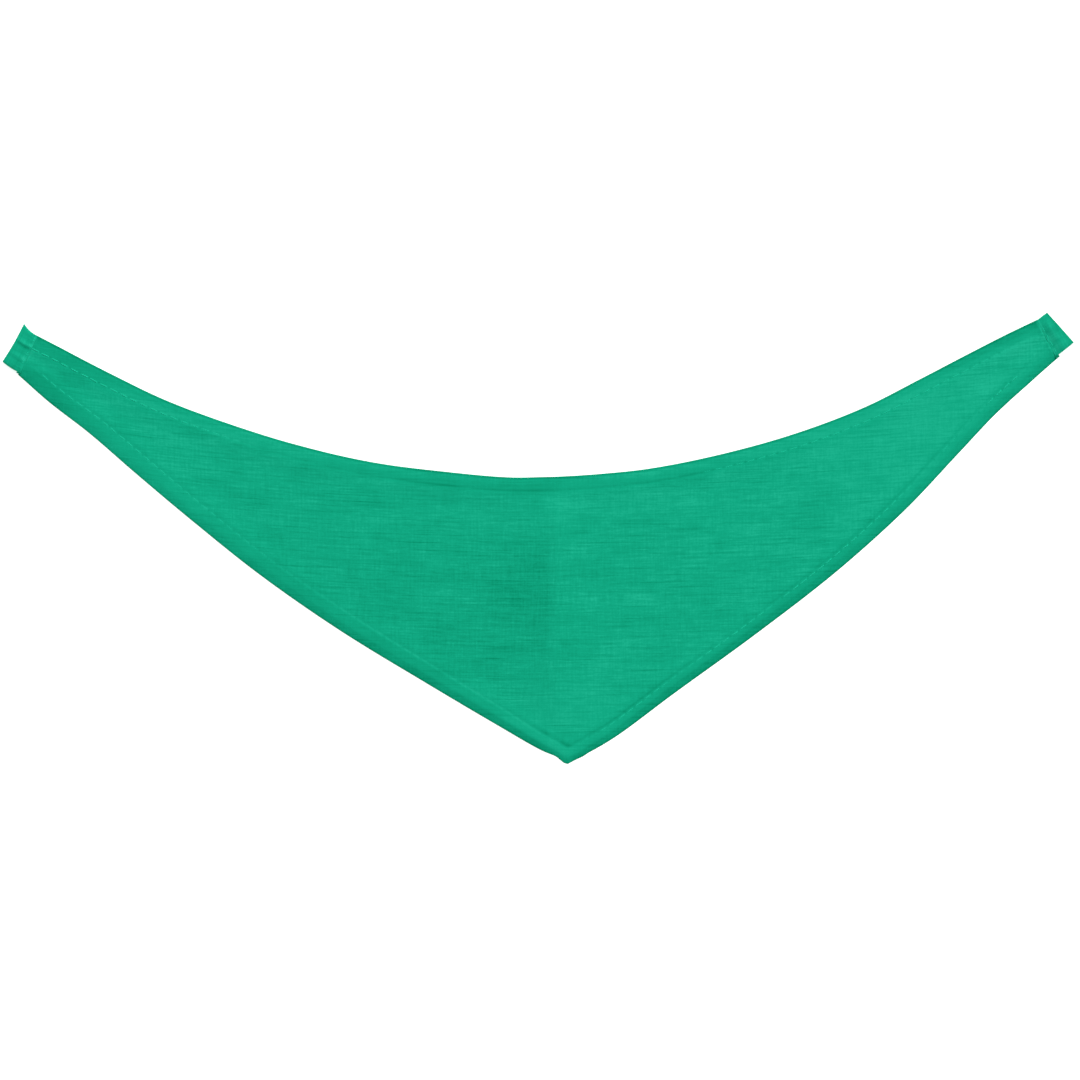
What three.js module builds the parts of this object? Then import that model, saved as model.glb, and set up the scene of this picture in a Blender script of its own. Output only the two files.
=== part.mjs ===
// A triangular neckerchief that lies open and flat, seen from its outer face.
// Units are millimetres. +X runs from the left tail to the right tail, +Y points from the
// hanging point to the neck edge, and +Z is up from the surface that the cloth lies on.
import * as THREE from 'three';

// Cloth and the clearance between layers
const clothWall = 1.0;
const layerGap = 0.3;
const hemLift = clothWall + layerGap;

// Outline of the panel
const neckSpan = 420.8;
const neckDepth = 66.7;
const pointDrop = 120.6;
const tailWidth = 18.0;
const leftTailLean = 25.0;
const rightTailLean = 27.2;

// Turned hems, each measured from the outer edge to its inner fold
const neckHemWidth = 6.6;
const leftHemWidth = 8.4;
const rightHemWidth = 7.0;
const fallWidth = 4.0;
const fallLimit = 0.4;

// Raised folds that the cloth keeps where it lies
const foldHeight = 1.3;
const creaseSharpness = 1.4;
const swellRoundness = 2;
const foldEndFade = 4;

// End tabs, folded over the tail ends
const tabWidth = 17.2;
const tongueInset = 0.6;
const tongueStart = 0.18;
const tuckLength = 1.7;
const puffHeight = 0.6;
const claspWidth = 1.6;
const claspLength = 7.0;

// Spacing of the mesh
const stationSpacing = 8.0;
const fieldSteps = 4;
const tabSteps = 12;
const curlAngles = [0, 45, 90];

// Sections of the panel from the tail seam to the hanging point.
// along: place on the neck edge, as a share of neckSpan from the middle.
// sink: how far the neck edge has dropped, as a share of neckDepth.
// grow: section length, from 0 at tailWidth to 1 at pointDrop.
// lean: tilt of the section, as a share of the tail's lean.
// hem: width of the lower hem, as a share of that hem's width.
const LEFT_SECTIONS = [
  { along: -0.500, sink: 0.101, grow: 0.000, lean: 1.00, hem: 0.86 },
  { along: -0.466, sink: 0.218, grow: 0.038, lean: 0.96, hem: 0.90 },
  { along: -0.423, sink: 0.358, grow: 0.076, lean: 0.92, hem: 0.94 },
  { along: -0.373, sink: 0.510, grow: 0.142, lean: 0.84, hem: 1.00 },
  { along: -0.313, sink: 0.653, grow: 0.242, lean: 0.72, hem: 1.00 },
  { along: -0.243, sink: 0.792, grow: 0.371, lean: 0.58, hem: 1.00 },
  { along: -0.168, sink: 0.900, grow: 0.516, lean: 0.42, hem: 1.00 },
  { along: -0.093, sink: 0.962, grow: 0.679, lean: 0.24, hem: 0.96 },
  { along: -0.028, sink: 0.998, grow: 0.837, lean: 0.10, hem: 0.92 },
  { along: 0.006, sink: 0.996, grow: 0.937, lean: 0.02, hem: 0.92 },
  { along: 0.018, sink: 0.994, grow: 0.964, lean: 0.00, hem: 0.92 },
  { along: 0.0285, sink: 0.991, grow: 1.000, lean: 0.00, hem: 0.92 },
];
const RIGHT_SECTIONS = [
  { along: 0.500, sink: 0.000, grow: -0.004, lean: 1.00, hem: 1.00 },
  { along: 0.471, sink: 0.088, grow: 0.033, lean: 1.01, hem: 1.00 },
  { along: 0.431, sink: 0.217, grow: 0.086, lean: 1.01, hem: 1.00 },
  { along: 0.383, sink: 0.375, grow: 0.166, lean: 0.96, hem: 1.00 },
  { along: 0.326, sink: 0.557, grow: 0.272, lean: 0.83, hem: 1.00 },
  { along: 0.256, sink: 0.724, grow: 0.411, lean: 0.64, hem: 1.00 },
  { along: 0.181, sink: 0.855, grow: 0.570, lean: 0.44, hem: 1.00 },
  { along: 0.111, sink: 0.943, grow: 0.747, lean: 0.24, hem: 1.00 },
  { along: 0.0635, sink: 0.976, grow: 0.903, lean: 0.10, hem: 1.00 },
  { along: 0.0375, sink: 0.988, grow: 0.977, lean: 0.02, hem: 1.00 },
  { along: 0.0285, sink: 0.991, grow: 1.000, lean: 0.00, hem: 1.00 },
];

// Raised folds of the field.
// along and the two reaches are shares of neckSpan, start and end are shares of the section
// length, height is a share of foldHeight, and kind is a pressed crease or a soft swell.
const FOLDS = [
  { along: 0.018, left: 0.075, right: 0.055, start: 0.00, end: 0.95, height: 1.00, kind: 'crease' },
  { along: -0.185, left: 0.070, right: 0.080, start: 0.05, end: 0.95, height: 0.35, kind: 'swell' },
  { along: 0.150, left: 0.045, right: 0.055, start: 0.10, end: 0.85, height: 0.30, kind: 'swell' },
  { along: 0.300, left: 0.060, right: 0.070, start: 0.00, end: 1.00, height: 0.30, kind: 'swell' },
  { along: -0.360, left: 0.045, right: 0.050, start: 0.00, end: 1.00, height: 0.25, kind: 'swell' },
];

// End tabs. The lengths run from the mouth to the folded end, at the neck side and at the
// lower side. slide moves the folded end along the seam, towards the neck side.
// clasp is the place of the hidden clasp, as a share of tabWidth.
const TABS = {
  left: { neckLength: 6.3, lowerLength: 8.1, slide: 1.4, clasp: 0.60 },
  right: { neckLength: 3.9, lowerLength: 8.1, slide: 0.8, clasp: 0.66 },
};

// Puckers across each tab, from the neck side to the lower side.
// at is a share of tabWidth and rise is a share of puffHeight.
const LEFT_PUCKERS = [
  { at: 0.00, rise: 0.00 },
  { at: 0.15, rise: 0.45 },
  { at: 0.33, rise: 1.00 },
  { at: 0.42, rise: 0.10 },
  { at: 0.62, rise: 0.60 },
  { at: 0.82, rise: 0.75 },
  { at: 1.00, rise: 0.10 },
];
const RIGHT_PUCKERS = [
  { at: 0.00, rise: 0.10 },
  { at: 0.22, rise: 0.80 },
  { at: 0.45, rise: 0.10 },
  { at: 0.70, rise: 0.80 },
  { at: 1.00, rise: 0.15 },
];

// Value of a named column between the rows of a table
function columnBetweenRows(rows, name, index) {
  const low = Math.min(Math.floor(index), rows.length - 2);
  return THREE.MathUtils.lerp(rows[low][name], rows[low + 1][name], index - low);
}

// Value of a pucker row at a share of the tab's width
function puckerRise(rows, share) {
  const next = rows.findIndex((row, index) => index > 0 && share <= row.at + 1e-9);
  const from = rows[next - 1];
  const to = rows[next];
  const blend = THREE.MathUtils.smoothstep(share, from.at, to.at);
  return THREE.MathUtils.lerp(from.rise, to.rise, blend);
}

// Mesh solids

// Closed solid between two grids of points with the same rows and columns. Seen from the outer
// grid's side, the way to the next column turns anticlockwise to the way to the next row.
function closedSheet(outer, inner) {
  const rows = outer.length;
  const columns = outer[0].length;
  const positions = [...outer.flat(), ...inner.flat()].flatMap((point) => point.toArray());
  const outerIndex = (row, column) => row * columns + column;
  const innerIndex = (row, column) => rows * columns + row * columns + column;
  const triangles = [];
  const addQuad = (a, b, c, d) => triangles.push(a, b, c, a, c, d);
  for (let row = 0; row < rows - 1; row += 1) {
    for (let column = 0; column < columns - 1; column += 1) {
      addQuad(
        outerIndex(row, column), outerIndex(row, column + 1),
        outerIndex(row + 1, column + 1), outerIndex(row + 1, column),
      );
      addQuad(
        innerIndex(row, column), innerIndex(row + 1, column),
        innerIndex(row + 1, column + 1), innerIndex(row, column + 1),
      );
    }
    const last = columns - 1;
    addQuad(outerIndex(row, 0), outerIndex(row + 1, 0), innerIndex(row + 1, 0), innerIndex(row, 0));
    addQuad(
      outerIndex(row, last), innerIndex(row, last),
      innerIndex(row + 1, last), outerIndex(row + 1, last),
    );
  }
  for (let column = 0; column < columns - 1; column += 1) {
    const last = rows - 1;
    addQuad(
      outerIndex(0, column), innerIndex(0, column),
      innerIndex(0, column + 1), outerIndex(0, column + 1),
    );
    addQuad(
      outerIndex(last, column), outerIndex(last, column + 1),
      innerIndex(last, column + 1), innerIndex(last, column),
    );
  }
  const geometry = new THREE.BufferGeometry();
  geometry.setAttribute('position', new THREE.Float32BufferAttribute(positions, 3));
  geometry.setIndex(triangles);
  geometry.computeVertexNormals();
  return geometry;
}

// Sections of the panel

// Direction of a section, from the neck edge to the lower edge
function sectionDirection(side, leanDegrees) {
  const lean = THREE.MathUtils.degToRad(leanDegrees);
  return new THREE.Vector3(side * Math.sin(lean), -Math.cos(lean), 0);
}

// How much longer a section is than the square distance from an edge
function obliqueness(direction, tangent) {
  return 1 / Math.abs(direction.x * tangent.y - direction.y * tangent.x);
}

// Sections of one half, from the tail seam to the hanging point.
// side is -1 on the left and +1 on the right.
function halfSections(rows, side, tailLean, lowerHemWidth) {
  const neckPoints = rows.map((row) => (
    new THREE.Vector3(row.along * neckSpan, -row.sink * neckDepth, 0)));
  const lowerPoints = rows.map((row, index) => {
    const length = THREE.MathUtils.lerp(tailWidth, pointDrop, row.grow);
    const direction = sectionDirection(side, row.lean * tailLean);
    return neckPoints[index].clone().addScaledVector(direction, length);
  });
  const neckCurve = new THREE.CatmullRomCurve3(neckPoints);
  const lowerCurve = new THREE.CatmullRomCurve3(lowerPoints);
  const sections = [];
  for (let row = 0; row < rows.length - 1; row += 1) {
    const spacing = neckPoints[row].distanceTo(neckPoints[row + 1]);
    const steps = Math.max(1, Math.round(spacing / stationSpacing));
    const isLastRow = row === rows.length - 2;
    const count = isLastRow ? steps + 1 : steps;
    for (let step = 0; step < count; step += 1) {
      const index = row + step / steps;
      const share = index / (rows.length - 1);
      const neck = neckCurve.getPoint(share);
      const lower = lowerCurve.getPoint(share);
      const length = neck.distanceTo(lower);
      const direction = lower.clone().sub(neck).divideScalar(length);
      const neckStretch = obliqueness(direction, neckCurve.getTangent(share));
      const lowerStretch = obliqueness(direction, lowerCurve.getTangent(share));
      sections.push({
        neck,
        direction,
        length,
        neckStretch,
        lowerStretch,
        neckHem: neckHemWidth * neckStretch,
        lowerHem: lowerHemWidth * columnBetweenRows(rows, 'hem', index) * lowerStretch,
      });
    }
  }
  return sections;
}

// A copy of a section moved sideways, which keeps its direction and length
function movedSection(section, offset) {
  return { ...section, neck: section.neck.clone().add(offset) };
}

// Point of a section at a distance from the neck edge
function pointOnSection(section, distance, height) {
  const point = section.neck.clone().addScaledVector(section.direction, distance);
  point.z = height;
  return point;
}

// Panel

// Lift of the raised folds at one place of the field
function foldLift(point, share) {
  const heights = FOLDS.map((fold) => {
    const offset = point.x - fold.along * neckSpan;
    const reach = (offset < 0 ? fold.left : fold.right) * neckSpan;
    const across = Math.max(0, 1 - Math.abs(offset) / reach);
    const crease = across ** creaseSharpness;
    const swell = Math.sin(across * Math.PI / 2) ** swellRoundness;
    const profile = fold.kind === 'crease' ? crease : swell;
    const middle = (fold.start + fold.end) / 2;
    const half = (fold.end - fold.start) / 2;
    const downward = Math.max(0, 1 - (Math.abs(share - middle) / half) ** foldEndFade);
    return fold.height * foldHeight * profile * downward;
  });
  return Math.max(...heights);
}

// Lift of the panel's underside: on the hems it lies over the turned strip, and between
// them it falls to the surface, apart from the folds
function panelLift(section, distance) {
  const fromNeckHem = distance - section.neckHem;
  const fromLowerHem = section.length - section.lowerHem - distance;
  const inside = Math.max(0, Math.min(fromNeckHem, fromLowerHem));
  const fallen = THREE.MathUtils.smoothstep(inside, 0, fallWidth);
  const folds = foldLift(pointOnSection(section, distance, 0), distance / section.length);
  return THREE.MathUtils.lerp(hemLift, folds, fallen);
}

// Curled rim as inset and height pairs of the outer and the inner face.
// curl is 1 where the rim turns down to the surface and 0 where it stays flat.
function rimProfile(curl) {
  const outerRadius = clothWall + layerGap;
  const innerRadius = layerGap;
  const top = hemLift + clothWall;
  const rim = [{
    outerInset: 0,
    outerHeight: hemLift * (1 - curl),
    innerInset: clothWall - innerRadius * (1 - curl),
    innerHeight: hemLift * (1 - curl),
  }];
  for (const degrees of curlAngles) {
    const angle = THREE.MathUtils.degToRad(degrees);
    rim.push({
      outerInset: outerRadius * (1 - Math.cos(angle)),
      outerHeight: top - (outerRadius - layerGap * (1 - curl)) * (1 - Math.sin(angle)),
      innerInset: clothWall + innerRadius * (1 - Math.cos(angle)),
      innerHeight: hemLift - innerRadius * curl * (1 - Math.sin(angle)),
    });
  }
  return rim;
}

// One row of points of the panel: the upper face and the underside
function panelRow(section, curl) {
  const rim = rimProfile(curl);
  const neckEnd = section.neckHem;
  const lowerEnd = section.length - section.lowerHem;
  const fall = Math.min(fallWidth, (lowerEnd - neckEnd) * fallLimit);
  const upper = [];
  const under = [];
  const addField = (distance) => {
    const lift = THREE.MathUtils.lerp(hemLift, panelLift(section, distance), curl);
    upper.push(pointOnSection(section, distance, lift + clothWall));
    under.push(pointOnSection(section, distance, lift));
  };
  for (const step of rim) {
    upper.push(pointOnSection(section, step.outerInset * section.neckStretch, step.outerHeight));
    under.push(pointOnSection(section, step.innerInset * section.neckStretch, step.innerHeight));
  }
  addField(neckEnd);
  addField(neckEnd + fall / 2);
  for (let step = 0; step <= fieldSteps; step += 1) {
    addField(THREE.MathUtils.lerp(neckEnd + fall, lowerEnd - fall, step / fieldSteps));
  }
  addField(lowerEnd - fall / 2);
  addField(lowerEnd);
  for (const step of [...rim].reverse()) {
    const outerDistance = section.length - step.outerInset * section.lowerStretch;
    const innerDistance = section.length - step.innerInset * section.lowerStretch;
    upper.push(pointOnSection(section, outerDistance, step.outerHeight));
    under.push(pointOnSection(section, innerDistance, step.innerHeight));
  }
  return { upper, under };
}

// Direction out of the tail, square to its seam
function outwardDirection(section, side) {
  return new THREE.Vector3(-section.direction.y * side, section.direction.x * side, 0);
}

// Flat tongue of the tail end that goes into the tab, as two narrower sections
function tongueSections(section, side) {
  const outward = outwardDirection(section, side);
  const narrower = {
    ...section,
    neck: pointOnSection(section, tongueInset, 0),
    length: tabWidth - 2 * tongueInset,
    neckStretch: 1,
    lowerStretch: 1,
    neckHem: section.neckHem - tongueInset,
    lowerHem: section.lowerHem - tongueInset,
  };
  const root = outward.clone().multiplyScalar(tongueStart);
  const end = outward.clone().multiplyScalar(layerGap + tuckLength);
  return [movedSection(narrower, end), movedSection(narrower, root)];
}

function panelGeometry(left, right) {
  const body = [...left, ...right.slice(0, -1).reverse()];
  const rows = [
    ...tongueSections(left[0], -1).map((section) => panelRow(section, 0)),
    ...body.map((section) => panelRow(section, 1)),
    ...tongueSections(right[0], 1).reverse().map((section) => panelRow(section, 0)),
  ];
  return closedSheet(rows.map((row) => row.upper), rows.map((row) => row.under));
}

// Turned hems

// Flat strip under the panel, between two distances from the neck edge
function hemGeometry(sections, outerDistance, innerDistance) {
  const strip = (height) => sections.map((section) => [
    pointOnSection(section, outerDistance(section), height),
    pointOnSection(section, (outerDistance(section) + innerDistance(section)) / 2, height),
    pointOnSection(section, innerDistance(section), height),
  ]);
  return closedSheet(strip(clothWall), strip(0));
}

// Sections for a hem, cut back from the tab seam
function hemSections(sections, side) {
  const inward = outwardDirection(sections[0], side).multiplyScalar(-layerGap);
  return [movedSection(sections[0], inward), ...sections.slice(1)];
}

function neckHemGeometry(left, right) {
  const sections = [
    ...hemSections(left, -1),
    ...hemSections(right, 1).slice(0, -1).reverse(),
  ];
  return hemGeometry(
    sections,
    (section) => hemLift * section.neckStretch,
    (section) => section.neckHem,
  );
}

// A lower hem ends in a mitre at the hanging point
function lowerHemGeometry(half, side) {
  const sections = hemSections(half, side);
  const last = sections.length - 1;
  sections[last] = movedSection(sections[last], new THREE.Vector3(side * layerGap / 2, 0, 0));
  if (side > 0) sections.reverse();
  return hemGeometry(
    sections,
    (section) => section.length - section.lowerHem,
    (section) => section.length - hemLift * section.lowerStretch,
  );
}

// End tabs

// Folded section of a tab as distance from the mouth and height, outer and inner face.
// length is the length from the mouth to the fold and rise lifts the upper layer.
function tabProfile(length, rise) {
  const height = 3 * clothWall + 2 * layerGap + rise;
  const outerRadius = height / 2;
  const innerRadius = outerRadius - clothWall;
  const bend = length - outerRadius;
  const profile = [
    { outer: [0, 0], inner: [0, clothWall] },
    { outer: [bend / 2, 0], inner: [bend / 2, clothWall] },
  ];
  for (const degrees of [-90, -45, 0, 45, 90]) {
    const angle = THREE.MathUtils.degToRad(degrees);
    const reach = Math.cos(angle);
    const climb = Math.sin(angle);
    profile.push({
      outer: [bend + outerRadius * reach, outerRadius + outerRadius * climb],
      inner: [bend + innerRadius * reach, outerRadius + innerRadius * climb],
    });
  }
  profile.push({ outer: [bend / 2, height], inner: [bend / 2, height - clothWall] });
  profile.push({ outer: [0, height - rise], inner: [0, height - rise - clothWall] });
  return profile;
}

// Point of a tab at a share of its width, a distance from its mouth and a height
function tabPoint(section, side, tab, share, distance, height) {
  const length = THREE.MathUtils.lerp(tab.neckLength, tab.lowerLength, share);
  const outward = outwardDirection(section, side);
  const slide = -tab.slide * distance / length;
  const point = pointOnSection(section, share * tabWidth + slide, height);
  return point.addScaledVector(outward, layerGap + distance);
}

function tabGeometry(section, side, tab, puckers) {
  const outer = [];
  const inner = [];
  for (let step = 0; step <= tabSteps; step += 1) {
    const share = step / tabSteps;
    const length = THREE.MathUtils.lerp(tab.neckLength, tab.lowerLength, share);
    const profile = tabProfile(length, puffHeight * puckerRise(puckers, share));
    outer.push(profile.map((row) => tabPoint(section, side, tab, share, ...row.outer)));
    inner.push(profile.map((row) => tabPoint(section, side, tab, share, ...row.inner)));
  }
  return side < 0 ? closedSheet(inner, outer) : closedSheet(outer, inner);
}

// Hidden clasp: one plain flat bar in the fold of the tab, beyond the tail's end
function claspGeometry(section, side, tab) {
  const near = tuckLength + layerGap;
  const base = clothWall + layerGap;
  const halfShare = claspLength / tabWidth / 2;
  const shares = [tab.clasp - halfShare, tab.clasp + halfShare];
  const face = (height) => shares.map((share) => (
    [near, near + claspWidth].map((distance) => (
      tabPoint(section, side, tab, share, distance, height)))));
  return side < 0
    ? closedSheet(face(base + clothWall), face(base))
    : closedSheet(face(base), face(base + clothWall));
}

// Assembly
const leftHalf = halfSections(LEFT_SECTIONS, -1, leftTailLean, leftHemWidth);
const rightHalf = halfSections(RIGHT_SECTIONS, 1, rightTailLean, rightHemWidth);

const cloth = () => new THREE.MeshStandardMaterial({ color: 0x14a782, roughness: 0.9, metalness: 0 });
const hemCloth = () => new THREE.MeshStandardMaterial({ color: 0x129a78, roughness: 0.9, metalness: 0 });
const claspMetal = () => new THREE.MeshStandardMaterial({ color: 0xa8aaac, roughness: 0.4, metalness: 0.9 });

const neckerchief = new THREE.Group();

function addPiece(name, geometry, material) {
  const mesh = new THREE.Mesh(geometry, material);
  mesh.name = name;
  neckerchief.add(mesh);
}

addPiece('panel', panelGeometry(leftHalf, rightHalf), cloth());
addPiece('neck_hem', neckHemGeometry(leftHalf, rightHalf), hemCloth());
addPiece('left_hem', lowerHemGeometry(leftHalf, -1), hemCloth());
addPiece('right_hem', lowerHemGeometry(rightHalf, 1), hemCloth());
addPiece('left_tab', tabGeometry(leftHalf[0], -1, TABS.left, LEFT_PUCKERS), cloth());
addPiece('right_tab', tabGeometry(rightHalf[0], 1, TABS.right, RIGHT_PUCKERS), cloth());
addPiece('left_clasp', claspGeometry(leftHalf[0], -1, TABS.left), claspMetal());
addPiece('right_clasp', claspGeometry(rightHalf[0], 1, TABS.right), claspMetal());

// The origin is the middle of the outline, on the surface that the cloth lies on
const bounds = new THREE.Box3().setFromObject(neckerchief);
const middle = bounds.getCenter(new THREE.Vector3());
neckerchief.position.set(-middle.x, -middle.y, -bounds.min.z);

export default neckerchief;
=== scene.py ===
# A triangular neckerchief of thin slubby cotton that lies open and flat, outer face up.
# Units are metres. +X runs from the left tail to the right tail, +Y points from the hanging
# point to the neck edge, and +Z is up from the surface that the cloth lies on.
import math
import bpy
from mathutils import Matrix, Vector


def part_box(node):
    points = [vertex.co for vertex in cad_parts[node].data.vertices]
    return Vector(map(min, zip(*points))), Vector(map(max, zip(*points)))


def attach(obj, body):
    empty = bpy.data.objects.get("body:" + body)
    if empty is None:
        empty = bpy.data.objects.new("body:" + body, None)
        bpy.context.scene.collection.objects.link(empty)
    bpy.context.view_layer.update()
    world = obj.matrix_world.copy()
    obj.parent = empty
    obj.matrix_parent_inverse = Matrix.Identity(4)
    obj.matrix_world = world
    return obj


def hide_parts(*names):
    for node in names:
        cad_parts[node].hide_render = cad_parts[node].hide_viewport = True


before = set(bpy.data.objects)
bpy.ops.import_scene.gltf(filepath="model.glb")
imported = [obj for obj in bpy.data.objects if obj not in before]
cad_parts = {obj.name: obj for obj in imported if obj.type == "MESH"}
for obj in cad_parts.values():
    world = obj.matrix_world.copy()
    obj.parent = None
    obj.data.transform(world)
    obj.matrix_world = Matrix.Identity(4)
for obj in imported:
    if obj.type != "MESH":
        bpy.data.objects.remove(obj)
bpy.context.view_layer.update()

from types import SimpleNamespace

import bpy
import numpy as np

MM = 0.001

# Outline of the panel
NECK_SPAN = 420.8 * MM
NECK_DEPTH = 66.7 * MM
POINT_DROP = 120.6 * MM
TAIL_WIDTH = 18.0 * MM
LEFT_TAIL_LEAN = 25.0
RIGHT_TAIL_LEAN = 27.2

# Turned hems, each measured from the outer edge to its inner fold
NECK_HEM = 6.6 * MM
LEFT_HEM = 8.4 * MM
RIGHT_HEM = 7.0 * MM

# Cloth and the heights of its upper face
CLOTH_WALL = 0.36 * MM
FIELD_TOP = 0.70 * MM
HEM_TOP = 1.35 * MM
TONGUE_TOP = 1.12 * MM
FLOOR_GAP = 0.03 * MM
FALL_WIDTH = 7.0 * MM
FALL_LIMIT = 0.45
FALL_ROOM = 24.0 * MM
NARROW_FALL = 0.2 * MM
SEAM_PUFF = 0.22 * MM
SEAM_PUFF_PLACE = 1.25 * MM
SEAM_PUFF_WIDTH = 0.75 * MM
SEAM_DIP = 0.16 * MM
SEAM_DIP_REACH = 0.45 * MM
SEAM_DIP_FADE = 0.3 * MM
BAND_WAVE_SIZE = 6 * MM
BAND_WAVE_HEIGHT = 0.06 * MM

# Turned strip under each hem: its two layers and the fold that joins them
STRIP_WALL = 0.26 * MM
STRIP_TOP = 0.52 * MM
STRIP_BOTTOM = 0.22 * MM
STRIP_UPPER_INSET = 2.4 * MM
STRIP_LOWER_INSET = 1.0 * MM
STRIP_WAVE_SIZE = 5 * MM
STRIP_WAVE_HEIGHT = 0.03 * MM
STRIP_TONE = -3.0

# Rolled rim, and the slope from it up to the top of the hem
RIM_ROLL = 0.7 * MM
UNDER_ROLL = 0.8 * MM
RIM_TOP = {"neck": 1.25 * MM, "lower": 0.75 * MM}
RIM_SLOPE = {"neck": 1.2 * MM, "lower": 3.4 * MM}
RIM_CURVE = 1.5

# Hanging point: its outline beside the last section and above the tip, in millimetres, and how
# far from it the inner lines of the hems stop following the outline and run straight
POINT_OUTLINE = (
    (-9.1, 5.4),
    (-4.1, 3.2),
    (-2.4, 1.8),
    (-0.7, 0.45),
    (0.9, 0.0),
    (1.8, 0.5),
    (4.3, 1.9),
    (6.0, 2.75),
    (9.4, 4.5),
)
POINT_REACH = 10.0 * MM
LEFT_STRAIGHT = 12.0 * MM
RIGHT_STRAIGHT = 5.0 * MM
EASE_REACH = 5.0 * MM

# Raised folds that the cloth keeps where it lies
FOLD_HEIGHT = 1.3 * MM
CREASE_SHARPNESS = 1.4
SWELL_ROUNDNESS = 2
FOLD_END_FADE = 4

# Topstitching, its two-ply thread and the loops at the tabs. TIP_GAP counts the sections to
# each side of the tip that the stitches of the lower hems leave free.
STITCH_INSET = 0.9 * MM
LEFT_STITCH_INSET = 0.6 * MM
RIGHT_STITCH_INSET = 1.4 * MM
STITCH_PITCH = 4.6 * MM
STITCH_LENGTH = 4.0 * MM
STITCH_SHIFT = 0.04
STITCH_SLANT = 0.14 * MM
STITCH_ARCH = 0.4
THREAD_RADIUS = 0.37 * MM
THREAD_SINK = 0.08 * MM
HIDDEN_SINK = 0.72 * MM
TIGHT_SHARE = 0.5
TIP_GAP = 9
PLY_TWIST = 1.9 * MM
PLY_OFFSET = 0.36
PLY_RADIUS = 0.68
THREAD_FLOOR = 0.01 * MM
UNDER_THREAD_LIFT = 0.1 * MM
GROOVE_DEPTH = 0.08 * MM
GROOVE_WIDTH = 0.6 * MM
GROOVE_EASE = 0.3
WRAP_COUNT = 3
WRAP_SPACING = 0.6 * MM
WRAP_REACH = 1.0 * MM
WRAP_MIDDLE = 0.85 * MM
WRAP_RISE = 0.75 * MM
WRAP_NARROWING = 0.45
WRAP_TURN = 4 / MM
TAB_STITCH_PITCH = 3.4 * MM
TAB_STITCH_LENGTH = 2.5 * MM
TAB_STITCH_SHOW = 0.6

# End tabs
TAB_WIDTH = 17.2 * MM
TAB_WALL = 0.20 * MM
TAB_TOP = 2.8 * MM
TAB_MOUTH_TOP = 1.52 * MM
MOUTH_WALL = 0.11 * MM
MOUTH_WALL_REACH = 0.3 * MM
MOUTH_WALL_FADE = 1.4 * MM
TAB_OVERLAP = 0.6 * MM
TAB_FOLD_REACH = 0.9 * MM
TAB_TURN = 2.0 * MM
TAB_SIDE_ROUND = 0.9 * MM
SIDE_CLOSING = 0.85
SIDE_CLOSING_FADE = 2.5 * MM
TAB_WAVE_SIZE = 1.6 * MM
TAB_WAVE_HEIGHT = 0.05 * MM
TAB_WAVE_STRETCH = 0.6
TAB_SHADING_WIDTH = 0.8 * MM
PUCKER_PLACE = 0.4
PUCKER_REACH = 0.6
ARCH_START = 0.15
ARCH_END = 0.9
CROWN_START = 0.08
CROWN_FADE = 0.3
SLOPE_START = 0.35
TURNED_DROP = 1.1
GATHER_PLACE = 0.78
GATHER_REACH = 0.25
TONGUE_INSET = 0.6 * MM
TONGUE_START = 0.18 * MM
TONGUE_LENGTH = 1.7 * MM
LAYER_GAP = 0.3 * MM
PUFF_HEIGHT = 0.60 * MM
GATHER_PITCH = 2.1 * MM
GATHER_HEIGHT = 0.05 * MM
TAB_STITCH_COLUMN = 46

# Mesh: spacing of the sections, rows of points across the panel, and steps of the curves
STATION_SPACING = 1.2 * MM
CLOSER_STATIONS = 2.5
CLOSE_AT_SEAM = 3 * MM
CLOSE_AT_POINT = 6 * MM
FIELD_ROWS = 42
BAND_ROWS = 8
FALL_ROWS = 4
RIM_ROWS = 8
TAB_ROWS = 70
THREAD_STEPS = 15
THREAD_SIDES = 6
FINE_STEPS = 4001
LATTICE_SIZE = 97
LINE_BAND_START = 1.8 * MM
LINE_BAND_END = 0.4 * MM
LEAST_FALL = 0.8 * MM

# Sections of the panel from the tail seam to the hanging point.
# along: place on the neck edge, as a share of NECK_SPAN from the middle.
# sink: how far the neck edge has dropped, as a share of NECK_DEPTH.
# grow: section length, from 0 at TAIL_WIDTH to 1 at POINT_DROP.
# lean: tilt of the section, as a share of the tail's lean.
# hem: width of the lower hem, as a share of that hem's width.
SECTION_COLUMNS = ("along", "sink", "grow", "lean", "hem")
LEFT_SECTIONS = (
    (-0.500, 0.101, 0.000, 1.00, 0.86),
    (-0.466, 0.218, 0.038, 0.96, 0.90),
    (-0.423, 0.358, 0.076, 0.92, 0.94),
    (-0.373, 0.510, 0.142, 0.84, 1.00),
    (-0.313, 0.653, 0.242, 0.72, 1.00),
    (-0.243, 0.792, 0.371, 0.58, 1.00),
    (-0.168, 0.900, 0.516, 0.42, 1.03),
    (-0.093, 0.962, 0.679, 0.24, 0.98),
    (-0.028, 0.998, 0.837, 0.10, 0.92),
    (0.006, 0.996, 0.937, 0.02, 0.82),
    (0.018, 0.994, 0.964, 0.00, 0.82),
    (0.0285, 0.991, 1.000, 0.00, 0.82),
)
RIGHT_SECTIONS = (
    (0.500, 0.000, -0.004, 1.00, 1.00),
    (0.471, 0.088, 0.033, 1.01, 1.00),
    (0.431, 0.217, 0.086, 1.01, 1.00),
    (0.383, 0.375, 0.166, 0.96, 1.00),
    (0.326, 0.557, 0.272, 0.83, 1.00),
    (0.256, 0.724, 0.411, 0.64, 1.00),
    (0.181, 0.855, 0.570, 0.44, 1.00),
    (0.111, 0.943, 0.747, 0.24, 1.00),
    (0.0635, 0.976, 0.903, 0.10, 1.00),
    (0.0375, 0.988, 0.977, 0.02, 1.00),
    (0.0285, 0.991, 1.000, 0.00, 1.00),
)

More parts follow.
